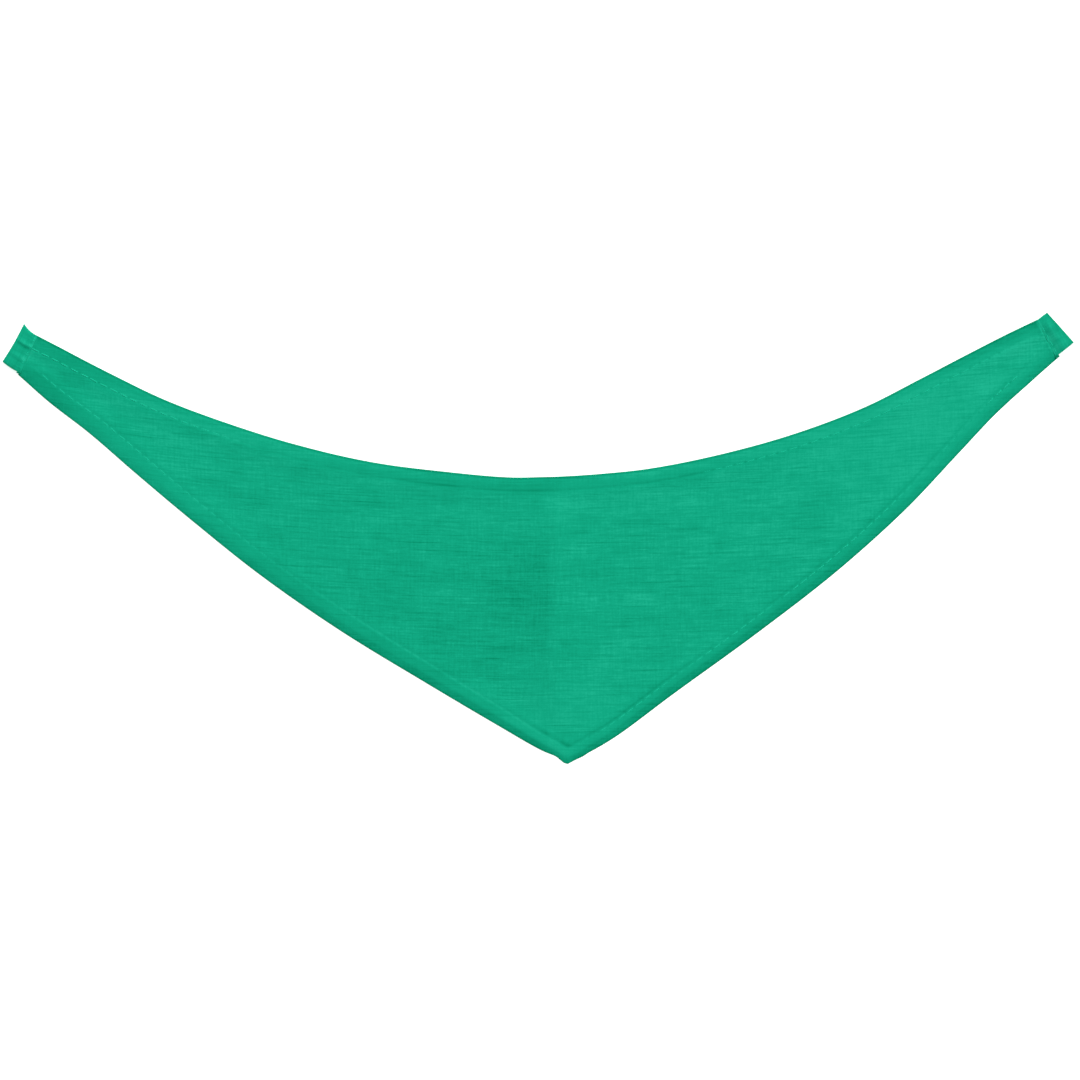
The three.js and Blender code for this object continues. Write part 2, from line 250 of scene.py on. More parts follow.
# Room that the soft edges take outside the plain sections, in millimetres at places along X
ROOM_COLUMNS = ("x", "neck", "lower")
EDGE_ROOM = (
    (-218, 0.10, 0.00),
    (-200, 0.60, 0.00),
    (-100, 0.70, 0.10),
    (-60, 0.45, 0.20),
    (2, 0.45, 0.10),
    (12, 0.45, -0.25),
    (22, 0.45, 0.15),
    (60, 0.35, 0.00),
    (190, 0.30, 0.00),
    (205, 0.25, 0.40),
    (217, 0.25, 0.40),
)

# Raised folds of the field. along and the two reaches are shares of NECK_SPAN, start and end
# are shares of the section length, and height is a share of FOLD_HEIGHT.
FOLD_COLUMNS = ("along", "left", "right", "start", "end", "height", "kind")
FOLDS = (
    (0.018, 0.075, 0.055, 0.00, 0.95, 1.00, "crease"),
    (-0.185, 0.070, 0.080, 0.05, 0.95, 0.35, "swell"),
    (0.150, 0.045, 0.055, 0.10, 0.85, 0.30, "swell"),
    (0.300, 0.060, 0.070, 0.00, 1.00, 0.30, "swell"),
    (-0.360, 0.045, 0.050, 0.00, 1.00, 0.25, "swell"),
)

# Bands of tone and painted shade along an edge, measured square to it; the border is painted shade
# on the outer edge where the cloth rolls under.
# All tones are in steps, 68 of them from the darkest to the lightest cloth.
TONE_STEP = 1 / 68
BORDER_SHADE = {"neck": -19, "lower": -14}
BORDER_REACH = {"neck": 0.5 * MM, "lower": 0.35 * MM}
BORDER_FADE = 0.7 * MM
RIM_REACH = 2.5 * MM
RIM_FADE = 1.3 * MM
POINT_X = 12.34 * MM
POINT_RIM_LOSS = 0.8 * MM
POINT_RIM_WIDTH = 16 * MM
BAND_INSIDE = 0.9 * MM
BAND_FADE = 1.6 * MM
RIDGE_WIDTH = 0.55 * MM
GROOVE_PLACE = 1.1 * MM
GROOVE_BAND = 0.7 * MM

# Tone of the edges at places along X in millimetres, most of it painted light and shade. rim is
# painted shade on the sloping outer band of a hem, band the rest of it (the doubled cloth's darker
# tone with painted shade), ridge painted light and shade on the stitched line and groove painted
# shade in the line just inside it.
# show is how far the thread stands out.
EDGE_COLUMNS = ("x", "rim", "band", "ridge", "groove", "show")
NECK_TONE_AND_SHADE = (
    (-205, -10, -8, 4, -4, 0.9),
    (-190, -9, -7, 4, -4, 0.85),
    (-161, -4, 4, 7, -3, 0.7),
    (-140, 0, 3, 7, -3, 0.55),
    (-125, 1, 2, 4, -2, 0.4),
    (-112, 2, 2, -2, 0, 0.1),
    (-62, 1, -3, -5, -2, 0.1),
    (-54, 1, -4, -14, -2, 0.0),
    (-36, 0, -5, -17, -2, 0.0),
    (-29, 0, -4, -7, -2, 0.0),
    (-22, -1, -6, -14, -2, 0.0),
    (-4, -1, -8, -19, -3, 0.0),
    (5, 0, -6, -15, -2, 0.0),
    (12, 2, -2, -9, -1, 0.1),
    (36, 3, -2, -8, -1, 0.2),
    (46, 3, -2, -12, -1, 0.2),
    (54, 3, -2, -10, -1, 0.2),
    (62, 3, -3, -15, -2, 0.2),
    (74, 2, -1, -6, -3, 0.5),
    (100, 1, 1, -2, -4, 0.55),
    (154, -3, 2, 2, -1, 0.65),
    (180, -10, -3, 2, 0, 0.6),
    (194, -14, -5, 4, 2, 0.45),
    (204, -14, -5, 6, 1, 0.3),
    (210, -14, -5, 0, 1, 0.2),
)
LOWER_TONE_AND_SHADE = (
    (-213, -13, -14, 0, -3, 0.0),
    (-209, -13, -14, 6, -6, 0.55),
    (-205, -13, -14, 7, -7, 0.55),
    (-190, -8, -8, 7, -6, 0.55),
    (-178, -1, -2, 6, -5, 0.6),
    (-150, -4, -1, 5, -4, 0.5),
    (-110, -8, -4, 5, -3, 0.4),
    (-64, -13, -4, 11, -2, 0.3),
    (-20, -14, -3, 8, -2, 0.25),
    (-4, -17, 0, 5, -6, 0.2),
    (2.5, -17, 2, 3, -13, 0.2),
    (6, -12, 3, 3, -6, 0.2),
    (11, -7, 2, 2, -15, 0.0),
    (17, -15, -2, 2, -8, 0.1),
    (26, -15, -3, 3, -13, 0.45),
    (43, -14, -3, 4, -15, 0.6),
    (60, -16, -4, 4, -10, 0.4),
    (76, -17, -5, 4, -5, 0.65),
    (93, -16, -5, 4, -6, 0.6),
    (100, -15, -5, 4, -9, 0.35),
    (108, -15, -5, 4, -9, 0.75),
    (128, -13, -5, 3, -10, 0.75),
    (146, -10, -3, 3, -10, 0.70),
    (160, -9, -3, 3, -10, 0.30),
    (172, -10, -4, 2, -7, 0.45),
    (186, -11, -4, 2, -4, 0.30),
    (193, -11, -4, 2, -8, 1.0),
    (199, -11, -4, 2, -8, 1.0),
    (203, -11, -4, 1, -3, 0.1),
    (210, -11, -4, 1, -3, 0.0),
)
EDGE_TONE_AND_SHADE = {"neck": NECK_TONE_AND_SHADE, "lower": LOWER_TONE_AND_SHADE}

# Painted light and shade on the line right beside each tab, at shares of the seam from the neck edge
SEAM_SHADING_PLACE = 0.7 * MM
SEAM_SHADING_WIDTH = 0.6 * MM
SEAM_COLUMNS = ("at", "left", "right")
SEAM_LIGHT_AND_SHADE = (
    (0.00, 2, 10),
    (0.08, 8, 12),
    (0.30, 9, 10),
    (0.40, 10, 0),
    (0.58, 10, 0),
    (0.68, 9, 9),
    (0.80, 9, 6),
    (0.90, 5, 0),
    (1.00, 0, -2),
)

# Contrast of the slubs in the field, over a hem and on its rim
SLUB_CONTRAST = 0.92
HEM_CONTRAST = 0.60
RIM_CONTRAST = 0.85
HEM_SLUB_EDGE = 0.3 * MM
HEM_SLUB_FADE = 1.2 * MM
RIM_SLUB_EDGE = 2.0 * MM
RIM_SLUB_FADE = 1.5 * MM

# Shade to the left of the crease
CREASE_X = 4.6 * MM
CREASE_Y = -24.0 * MM
CREASE_REACH_X = 17.0 * MM
CREASE_REACH_Y = 32.0 * MM
CREASE_EDGE = 1.6 * MM
CREASE_TONE = -5.5
CREASE_SLUBS = 0.15

# Soft patches of the cloth, mostly painted light and shade where folds, grooves and the lamp's angle
# make it lighter or darker, partly its own uneven tone:
# middle and reach in millimetres, how many tone steps lighter, and how much stronger the slubs are
# there
PATCH_COLUMNS = ("x", "y", "reach_x", "reach_y", "lift", "slubs")
LIGHT_SHADE_AND_TONE_PATCHES = (
    (-24, -20, 34, 26, -3, 0.12),
    (-45, -45, 45, 30, -3, 0.1),
    (-80, 10, 60, 30, -2.5, 0),
    (-6, -10, 9, 5, -3.5, 0.1),
    (-4, -24, 14, 5, -4, 0.1),
    (-41, -16, 10, 5, -3, 0.1),
    (43, 2, 10, 5, -2.5, 0.05),
    (113, 12, 12, 5, -2.5, 0.05),
    (26, -18, 10, 4, -2, 0),
    (160, 45, 60, 35, 5, -0.3),
    (195, 78, 25, 18, 4, 0),
    (-185, 65, 45, 30, 1.5, -0.15),
    (55, -30, 30, 30, -1, 0),
    (10, -75, 25, 14, 2.5, -0.3),
    (5, 12, 55, 10, 1, -0.15),
    (-30, 12, 25, 8, 2, 0),
    (1, -25.5, 7, 5, -4, 0.05),
    (1, -42, 10, 6, 3.5, 0),
    (-16, -46, 14, 12, -3, 0.05),
    (-83, -21, 20, 12, -2.5, 0),
    (18, -42, 10, 6, -2.5, 0),
    (34, 16, 12, 8, 2.5, 0),
    (118, 0, 10, 6, 3.5, 0),
    (-200, 67, 8, 6, -3, 0),
    (2.6, -80.4, 0.9, 0.7, -8, 0),
    (3.7, -81.4, 1.1, 0.7, -8, 0),
    (10.4, -85.5, 1.3, 0.8, -7, 0),
    (12.2, -86.6, 1.3, 0.9, -10, 0),
    (-120, 8, 16, 8, -2.5, 0),
    (210.3, 90, 1, 1, 6, 0),
    (208.1, 89.7, 1.6, 0.8, -7, 0),
    (-209.6, 83.7, 0.9, 0.9, -9, 0),
    (-211.6, 80.8, 0.8, 0.8, -9, 0),
    (-213.7, 72.7, 1.6, 1.2, 5, 0),
    (-214, 67.5, 2.4, 1.2, -5, 0),
)

# Low waves of the lying cloth: size of a wave, height, and the number that seeds it
WAVE_COLUMNS = ("size", "height", "seed")
WAVES = (
    (42 * MM, 0.20 * MM, 3),
    (17 * MM, 0.06 * MM, 8),
    (7 * MM, 0.02 * MM, 21),
)

# Puckers across each tab, from the neck side to the lower side. at is a share of TAB_WIDTH, rise
# is a share of PUFF_HEIGHT, tone is painted light and shade of the puckers and mouth painted light
# and shade along the tab's mouth, both in steps of TONE_STEP.
# Spots on each tab, painted highlights and shaded dents: share of its width, share of its length,
# reach in millimetres and tone.
PUCKER_COLUMNS = ("at", "rise", "tone", "mouth")
SPOT_COLUMNS = ("at", "out", "reach", "tone")
TABS = {
    "left": SimpleNamespace(
        side=-1,
        neck_length=6.3 * MM,
        lower_length=7.8 * MM,
        fold_dent=0.35 * MM,
        fold_shade=-3,
        neck_slide=2.1 * MM,
        lower_slide=1.2 * MM,
        side_bend=2.0,
        tack_outside=-0.45 * MM,
        crown=0.75,
        skew=0.04,
        puckers=(
            (0.00, 0.10, -2, 8),
            (0.08, 0.30, -3, 12),
            (0.20, 0.40, -3, 8),
            (0.31, 0.90, 5, 8),
            (0.385, 0.00, -15, -2),
            (0.48, 0.30, -3, 4),
            (0.56, 0.20, -2, 0),
            (0.66, 0.60, 1, 4),
            (0.75, 0.20, -2, 0),
            (0.86, 0.40, -2, 3),
            (1.00, 0.10, -4, -4),
        ),
        spots=(
            (0.29, 0.02, 0.7, 12),
            (0.40, 0.25, 0.9, -5),
            (0.47, 0.12, 1.2, 6),
            (0.65, 0.06, 0.9, 20),
            (0.61, 0.36, 1.3, 4),
            (0.52, 0.66, 1.3, 4),
            (0.34, 0.84, 0.8, 5),
            (0.77, 0.22, 1.1, -6),
            (0.95, 0.02, 0.9, -9),
        ),
    ),
    "right": SimpleNamespace(
        side=1,
        neck_length=4.3 * MM,
        lower_length=8.5 * MM,
        fold_dent=0.0,
        fold_shade=-24,
        neck_slide=0.7 * MM,
        lower_slide=1.7 * MM,
        side_bend=1.0,
        tack_outside=-0.10 * MM,
        crown=0.15,
        skew=0.0,
        puckers=(
            (0.00, 0.10, -2, 8),
            (0.14, 0.30, -1, 9),
            (0.34, 0.35, 1, 6),
            (0.50, 0.10, 2, 0),
            (0.60, 0.40, 4, 0),
            (0.72, 0.20, 2, -2),
            (0.84, 0.40, 4, 3),
            (1.00, 0.10, 0, -2),
        ),
        spots=(
            (0.49, 0.70, 0.9, -10),
            (0.42, 0.58, 0.7, -6),
            (0.72, 0.42, 0.8, -7),
            (0.76, 0.03, 0.9, -9),
            (0.55, 0.14, 2.0, 8),
            (0.80, 0.14, 2.0, 8),
        ),
    ),
}

# Bend of the slubs across each half, painted shade of the needle holes, and weave
LEFT_GRAIN_BEND = 0.35
RIGHT_GRAIN_BEND = 0.23
HOLE_SHADE = -0.21
HOLE_CORE = 0.25 * MM
HOLE_EDGE = 0.75 * MM
WEAVE_PITCH = 0.38 * MM

# Camera above the cloth, light with its angles in degrees, and floor
CAMERA_X = 0.84 * MM
CAMERA_Y = -0.42 * MM
VIEW_WIDTH = 453.6 * MM
LENS = 200.0
SENSOR = 36.0
KEY_ENERGY = 2.35
KEY_SPREAD = 24
KEY_TILT = 38
KEY_TURN = 58
WORLD_STRENGTH = 0.5
FLOOR_REACH = 3.0


# Numbers and curves

def table(columns, rows):
    """The rows as named tuples of values"""
    return [SimpleNamespace(**dict(zip(columns, row))) for row in rows]


def read_off(columns, rows, place, *names):
    """Named columns of a table, at places along its first column"""
    values = np.array(rows, dtype=float).T
    return [np.interp(place, values[0], values[columns.index(name)]) for name in names]


def lerp(start, end, share):
    return start + (end - start) * share


def smoothstep(value):
    """Smooth rise from 0 to 1"""
    value = np.clip(value, 0.0, 1.0)
    return value * value * (3.0 - 2.0 * value)


def fading(value, start, fade):
    """1 up to a start, and down to 0 over a fade"""
    return 1 - smoothstep((value - start) / fade)


def hill(offset, width):
    """Soft bump of height 1"""
    return np.exp(-(offset / width) ** 2)


def smooth_curve(points, shares):
    """Points of the centripetal curve through the given points"""
    count = len(points)
    padded = np.vstack([2 * points[0] - points[1], points, 2 * points[-1] - points[-2]])
    place = shares * (count - 1)
    index = np.minimum(place.astype(int), count - 2)
    weight = (place - index)[:, None]
    before, start, end, after = (padded[index + step] for step in range(4))
    gaps = [
        np.sqrt(np.linalg.norm(b - a, axis=1))[:, None]
        for a, b in ((before, start), (start, end), (end, after))
    ]
    leave = (start - before) / gaps[0] - (end - before) / (gaps[0] + gaps[1])
    leave = (leave + (end - start) / gaps[1]) * gaps[1]
    arrive = (end - start) / gaps[1] - (after - start) / (gaps[1] + gaps[2])
    arrive = (arrive + (after - end) / gaps[2]) * gaps[1]
    square = -3 * start + 3 * end - 2 * leave - arrive
    cube = 2 * start - 2 * end + leave + arrive
    return start + leave * weight + square * weight ** 2 + cube * weight ** 3


def soft_noise(x, y, size, seed):
    """Smooth noise between about -1 and 1, with hills about one size apart"""
    lattice = np.random.default_rng(seed).uniform(-1.0, 1.0, (LATTICE_SIZE, LATTICE_SIZE))
    u = x / size + 41.3
    v = y / size + 37.7
    column = np.floor(u).astype(int)
    row = np.floor(v).astype(int)
    du = smoothstep(u - column)
    low, high = (
        lerp(*(lattice[(column + step) % LATTICE_SIZE, line % LATTICE_SIZE] for step in (0, 1)), du)
        for line in (row, row + 1)
    )
    return lerp(low, high, smoothstep(v - row))


def path_lengths(points):
    """Length along the path at each of its points"""
    steps = np.linalg.norm(np.diff(points, axis=0), axis=1)
    return np.concatenate([[0.0], np.cumsum(steps)])


def lifted(plan, height):
    """Points in space, from their places in plan and their heights"""
    return np.concatenate([plan, height[..., None]], axis=-1)


# Meshes

def mesh_piece(name, vertices, faces, material, attributes=None):
    """New object from arrays, with smooth faces and sharp creases kept"""
    mesh = bpy.data.meshes.new(name)
    mesh.from_pydata(vertices, [], faces)
    mesh.update()
    for label, values in (attributes or {}).items():
        kind = "FLOAT_VECTOR" if values.ndim == 2 else "FLOAT"
        field = "vector" if values.ndim == 2 else "value"
        layer = mesh.attributes.new(label, kind, "POINT")
        layer.data.foreach_set(field, values.astype(np.float32).ravel())
    mesh.shade_smooth()
    mesh.set_sharp_from_angle(angle=math.radians(60))
    mesh.materials.append(material)
    piece = bpy.data.objects.new(name, mesh)
    bpy.context.scene.collection.objects.link(piece)
    return piece


def grid_normals(grid):
    """Unit normals of a grid of points, up where the grid runs left to right and down"""
    along = np.gradient(grid, axis=0)
    across = np.gradient(grid, axis=1)
    normals = np.cross(across, along)
    return normals / np.maximum(np.linalg.norm(normals, axis=2, keepdims=True), 1e-12)


def sheet_faces(rows, columns):
    """Faces of a closed sheet made of an upper grid and a lower one"""
    upper = np.arange(rows * columns).reshape(rows, columns)
    lower = upper + rows * columns

    def inside(grid):
        corners = (grid[:-1, :-1], grid[:-1, 1:], grid[1:, 1:], grid[1:, :-1])
        return np.stack([corner.ravel() for corner in corners], axis=1)

    def border(above, below):
        return np.stack([above[:-1], above[1:], below[1:], below[:-1]], axis=1)

    faces = [
        inside(upper)[:, ::-1],
        inside(lower),
        border(upper[:, 0], lower[:, 0])[:, ::-1],
        border(upper[:, -1], lower[:, -1]),
        border(upper[0], lower[0]),
        border(upper[-1], lower[-1])[:, ::-1],
    ]
    return np.vstack(faces).tolist()


def offset_sheet(name, middle, wall, material, grain, tone):
    """Closed sheet of cloth, half its wall to each side of a grid"""
    normals = grid_normals(middle) * np.asarray(wall)[..., None] / 2
    return sheet_piece(name, middle + normals, middle - normals, material, grain, tone)


def sheet_piece(name, upper, lower, material, grain, tone, contrast=None, seam=None):
    """Closed sheet of cloth between two grids, with its grain, its tone with painted light and
    shade, and stitched lines
    """
    rows, columns = upper.shape[:2]
    vertices = np.vstack([upper.reshape(-1, 3), lower.reshape(-1, 3)])
    attributes = {
        "grain": np.vstack([grain.reshape(-1, 3)] * 2),
        "tone": np.concatenate([tone.ravel()] * 2),
    }
    if contrast is None:
        contrast = np.full(tone.shape, HEM_CONTRAST)
    attributes["slubs"] = np.concatenate([contrast.ravel()] * 2)
    if seam is not None:
        attributes["seam"] = np.vstack([seam.reshape(-1, 3)] * 2)
    return mesh_piece(name, vertices.tolist(), sheet_faces(rows, columns), material, attributes)


# Sections of the panel

def half_sections(rows, side, tail_lean, lower_hem, lower_stitch_inset):
    """Sections of one half, from the tail seam to the hanging point, as arrays"""
    row = SimpleNamespace(**dict(zip(SECTION_COLUMNS, np.array(rows).T)))
    neck_row = np.stack([row.along * NECK_SPAN, -row.sink * NECK_DEPTH], axis=1)
    lean = np.radians(row.lean * tail_lean)
    direction = np.stack([side * np.sin(lean), -np.cos(lean)], axis=1)
    lower_row = neck_row + direction * lerp(TAIL_WIDTH, POINT_DROP, row.grow)[:, None]
    fine = np.linspace(0, 1, FINE_STEPS)
    travelled = path_lengths(smooth_curve(neck_row, fine))
    travelled = (travelled + path_lengths(smooth_curve(lower_row, fine))) / 2
    near_ends = hill(travelled, CLOSE_AT_SEAM) + hill(travelled[-1] - travelled, CLOSE_AT_POINT)
    closeness = 1 + CLOSER_STATIONS * near_ends
    paced = np.concatenate([[0.0], np.cumsum(np.diff(travelled) * closeness[1:])])
    count = int(round(paced[-1] / STATION_SPACING)) + 1
    shares = np.interp(np.linspace(0, paced[-1], count), paced, fine)
    neck = smooth_curve(neck_row, shares)
    lower = shape_point(smooth_curve(lower_row, shares))
    length = np.linalg.norm(lower - neck, axis=1)
    direction = (lower - neck) / length[:, None]
    hem_share = np.interp(shares * (len(rows) - 1), np.arange(len(rows)), row.hem)
    return SimpleNamespace(
        neck=neck,
        direction=direction,
        length=length,
        neck_stretch=obliqueness(direction, np.gradient(neck, axis=0)),
        lower_stretch=obliqueness(direction, np.gradient(lower, axis=0)),
        from_seam=np.interp(shares, fine, travelled),
        neck_hem=np.full(count, NECK_HEM),
        lower_hem=lower_hem * hem_share,
        neck_stitch=np.full(count, NECK_HEM - STITCH_INSET),
        lower_stitch=lower_hem * hem_share - lower_stitch_inset,
    )


def shape_point(lower):
    """Lower points with the outline of the hanging point near the last one"""
    outline = smooth_curve(np.array(POINT_OUTLINE) * MM, np.linspace(0, 1, 200))
    beside = lower[:, 0] - lower[-1, 0]
    aim = lower[-1, 1] + np.interp(beside, outline[:, 0], outline[:, 1])
    weight = fading(np.abs(beside), POINT_REACH * 0.7, POINT_REACH * 0.3)
    return np.stack([lower[:, 0], lerp(lower[:, 1], aim, weight)], axis=1)


def obliqueness(direction, tangent):
    """How much longer a section is than the square distance from an edge"""
    tangent = tangent / np.linalg.norm(tangent, axis=1, keepdims=True)
    turn = direction[:, 0] * tangent[:, 1] - direction[:, 1] * tangent[:, 0]
    return 1.0 / np.abs(turn)


def joined_sections(left, right):
    """Sections of both halves in one run, from the left seam to the right seam"""
    names = vars(left)
    return SimpleNamespace(**{
        name: np.concatenate([getattr(left, name), getattr(right, name)[:-1][::-1]])
        for name in names
    })


def widen(sections):
    """Sections with the room of the soft edges added"""
    neck_x = sections.neck[:, 0]
    lower_x = lower_points(sections)[:, 0]
    neck_room, = read_off(ROOM_COLUMNS, EDGE_ROOM, neck_x / MM, "neck")
    lower_room, = read_off(ROOM_COLUMNS, EDGE_ROOM, lower_x / MM, "lower")
    sections.neck = sections.neck - sections.direction * neck_room[:, None] * MM
    sections.length = sections.length + (neck_room + lower_room) * MM


def lower_points(sections):
    """Points of the lower edge"""
    return sections.neck + sections.direction * sections.length[:, None]


def straighten_hems(sections, tip_index):
    """Make the inner lines of both lower hems run straight to where they meet above the tip.
    lower_drop is how far the outline lies beyond the straight line, along the section."""
    lower = lower_points(sections)
    x = lower[:, 0]
    sections.lower_drop = np.zeros(len(x))
    anchors = (x[tip_index] - LEFT_STRAIGHT, x[tip_index] + RIGHT_STRAIGHT)
    near = (x > anchors[0]) & (x < anchors[1])
    lines = []
    for anchor, side in zip(anchors, (-1, 1)):
        index = int(np.searchsorted(x, anchor))
        tangent = lower[index] - lower[index + 4 * side]
        slope = tangent[1] / tangent[0]
        drop = lower[index, 1] + slope * (x - x[index]) - lower[:, 1]
        stretch = obliqueness(sections.direction, np.tile(tangent, (len(x), 1)))
        hem = sections.lower_hem[index] * np.ones(len(x))
        stitch = sections.lower_stitch[index] * np.ones(len(x))
        if side < 0:
            hem = np.where(x < x[tip_index], sections.lower_hem, sections.lower_hem[tip_index - 1])
            stitch = hem - LEFT_STITCH_INSET
        lines.append((drop + stitch * stretch, drop, stretch, hem, stitch))
    on_left = lines[0][0] > lines[1][0]
    for place, name in enumerate(("lower_drop", "lower_stretch", "lower_hem", "lower_stitch"), 1):
        chosen = np.where(on_left, lines[0][place], lines[1][place])
        values = np.where(near, chosen, getattr(sections, name))
        setattr(sections, name, eased(values, 2))


def eased(values, reach):
    """Values with their jumps smoothed out"""
    padded = np.pad(values, reach, mode="edge")
    window = np.ones(2 * reach + 1) / (2 * reach + 1)
    return np.convolve(padded, window, mode="valid")


def lower_inset(sections, distance):
    """Square distance from the lower edge, or from its straight line well inside"""
    stretch = sections.lower_stretch[:, None]
    away = sections.length[:, None] - distance
    drop = sections.lower_drop[:, None] * smoothstep(away / stretch / EASE_REACH)
    return (away - drop) / stretch


def lower_distance(sections, inset):
    """Distance along the sections of the places at an inset from the lower edge"""
    drop = sections.lower_drop[:, None] * smoothstep(inset / EASE_REACH)
    return sections.length[:, None] - inset * sections.lower_stretch[:, None] - drop


def outward(section_direction, side):
    """Direction out of the tail, square to its seam"""
    return np.array([-section_direction[1] * side, section_direction[0] * side])


def frame_shift(left, right):
    """Move that brings the sections into the frame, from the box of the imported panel"""
    low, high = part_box("panel")
    tip_height = min(lower_points(half)[:, 1].min() for half in (left, right))
    reach = outward(right.direction[0], 1) * (LAYER_GAP + TONGUE_LENGTH)
    ends = [
        right.neck[0] + right.direction[0] * distance + reach
        for distance in (TONGUE_INSET, TAB_WIDTH - TONGUE_INSET)
    ]
    return np.array([high.x - max(end[0] for end in ends), low.y - tip_height])


# Panel

def fold_lift(x, share):
    """Lift of the raised folds at a place of the field"""
    lift = np.zeros_like(share)
    for fold in table(FOLD_COLUMNS, FOLDS):
        offset = x - fold.along * NECK_SPAN
        reach = np.where(offset < 0, fold.left, fold.right) * NECK_SPAN
        across = np.clip(1 - np.abs(offset) / reach, 0, 1)
        if fold.kind == "crease":
            profile = across ** CREASE_SHARPNESS
        else:
            profile = np.sin(across * math.pi / 2) ** SWELL_ROUNDNESS
        middle = (fold.start + fold.end) / 2
        half = (fold.end - fold.start) / 2
        downward = np.clip(1 - (np.abs(share - middle) / half) ** FOLD_END_FADE, 0, 1)
        lift = np.maximum(lift, fold.height * FOLD_HEIGHT * profile * downward)
    return lift


def panel_points(sections, distance):
    """Plan place of each point, for a grid of distances from the neck edge"""
    return sections.neck[:, None, :] + sections.direction[:, None, :] * distance[:, :, None]


def panel_height(sections, distance):
    """Height of the panel's upper face, away from the rolled rims"""
    plan = panel_points(sections, distance)
    x = plan[..., 0]
    y = plan[..., 1]
    length = sections.length[:, None]
    from_neck = distance / sections.neck_stretch[:, None]
    from_lower = lower_inset(sections, distance)
    inside = np.minimum(
        from_neck - sections.neck_hem[:, None], from_lower - sections.lower_hem[:, None])
    fallen = smoothstep(inside / fall_width(sections)[:, None])
    waves = sum(
        wave.height * (1 + soft_noise(x, y, wave.size, wave.seed)) / 2
        for wave in table(WAVE_COLUMNS, WAVES)
    )
    field = FIELD_TOP + fold_lift(x, distance / length) + waves
    room = smoothstep(open_width(sections)[:, None] / FALL_ROOM)
    field = lerp(HEM_TOP - NARROW_FALL, field, room)
    band = HEM_TOP + BAND_WAVE_HEIGHT * soft_noise(x, y, BAND_WAVE_SIZE, seed=5)
    height = lerp(band, field, fallen)
    for edge, inset in (("neck", from_neck), ("lower", from_lower)):
        stitch = getattr(sections, edge + "_stitch")[:, None]
        along = getattr(sections, edge + "_along")[:, None]
        pull = 1 - GROOVE_EASE * (1 - np.cos(2 * math.pi * along / STITCH_PITCH))
        height = height - GROOVE_DEPTH * pull * hill(inset - stitch, GROOVE_WIDTH)
        rise = np.clip((inset - RIM_ROLL) / RIM_SLOPE[edge], 0, 1)
        height = height - (HEM_TOP - RIM_TOP[edge]) * (1 - rise) ** RIM_CURVE
    from_seam = sections.from_seam[:, None]
    height = height + SEAM_PUFF * hill(from_seam - SEAM_PUFF_PLACE, SEAM_PUFF_WIDTH)
    return height - SEAM_DIP * fading(from_seam, SEAM_DIP_REACH, SEAM_DIP_FADE)


def band_distances(sections, hem):
    """Square distances from an edge, from the rolled rim to the fallen field"""
    line_start = hem - LINE_BAND_START
    line_end = hem + LINE_BAND_END
    stretches = (
        (np.full(len(hem), RIM_ROLL), line_start, BAND_ROWS),
        (line_start, line_end, BAND_ROWS),
        (line_end, hem + np.maximum(fall_width(sections), LEAST_FALL), FALL_ROWS),
    )
    return np.concatenate([
        start[:, None] + (end - start)[:, None] * np.arange(count) / count
        for start, end, count in stretches
    ], axis=1)


def open_width(sections):
    """Width of each section between its hems"""
    hems = sections.neck_hem * sections.neck_stretch + sections.lower_hem * sections.lower_stretch
    return sections.length - hems


def fall_width(sections):
    """Width over which the cloth falls from a hem to the field"""
    return np.minimum(FALL_WIDTH, open_width(sections) * FALL_LIMIT)


def rim_profile(top):
    """Rolled rim from below to the top, as insets and heights"""
    angles = np.radians(np.linspace(-85, 90, RIM_ROWS, endpoint=False))
    middle = (top + FLOOR_GAP) / 2
    reach = np.where(angles < 0, UNDER_ROLL, RIM_ROLL)
    inset = reach * (1 - np.cos(angles))
    height = middle + (top - middle) * np.sin(angles)
    return inset, height


def panel_upper_grid(sections):
    """Upper face of the panel from the neck rim to the lower rim"""
    neck_stretch = sections.neck_stretch[:, None]
    neck_band = band_distances(sections, sections.neck_hem) * neck_stretch
    lower_band = lower_distance(
        sections, band_distances(sections, sections.lower_hem)[:, ::-1])
    fall = fall_width(sections)
    start = (sections.neck_hem + fall) * sections.neck_stretch
    end = lower_distance(sections, (sections.lower_hem + fall)[:, None])[:, 0]
    shares = np.linspace(0, 1, FIELD_ROWS)
    field = start[:, None] + (end - start)[:, None] * shares
    top = np.concatenate([neck_band, field, lower_band], axis=1)
    height = panel_height(sections, top)
    neck_inset, neck_rim = rim_profile(RIM_TOP["neck"])
    rim_inset, lower_rim = rim_profile(RIM_TOP["lower"])
    neck_rim = neck_rim * (height[:, :1] / RIM_TOP["neck"])
    lower_rim = lower_rim[::-1] * (height[:, -1:] / RIM_TOP["lower"])
    distance = np.concatenate([
        neck_inset * neck_stretch, top, lower_distance(sections, rim_inset[None, ::-1]),
    ], axis=1)
    return distance, np.concatenate([neck_rim, height, lower_rim], axis=1)


def cloth_grain(x, y):
    """Place in the weave: along the slubs, and across them where they sag and rise"""
    bend = np.where(x < 0, LEFT_GRAIN_BEND, RIGHT_GRAIN_BEND) * x * x
    return np.stack([x, y - bend, np.zeros_like(x)], axis=-1)


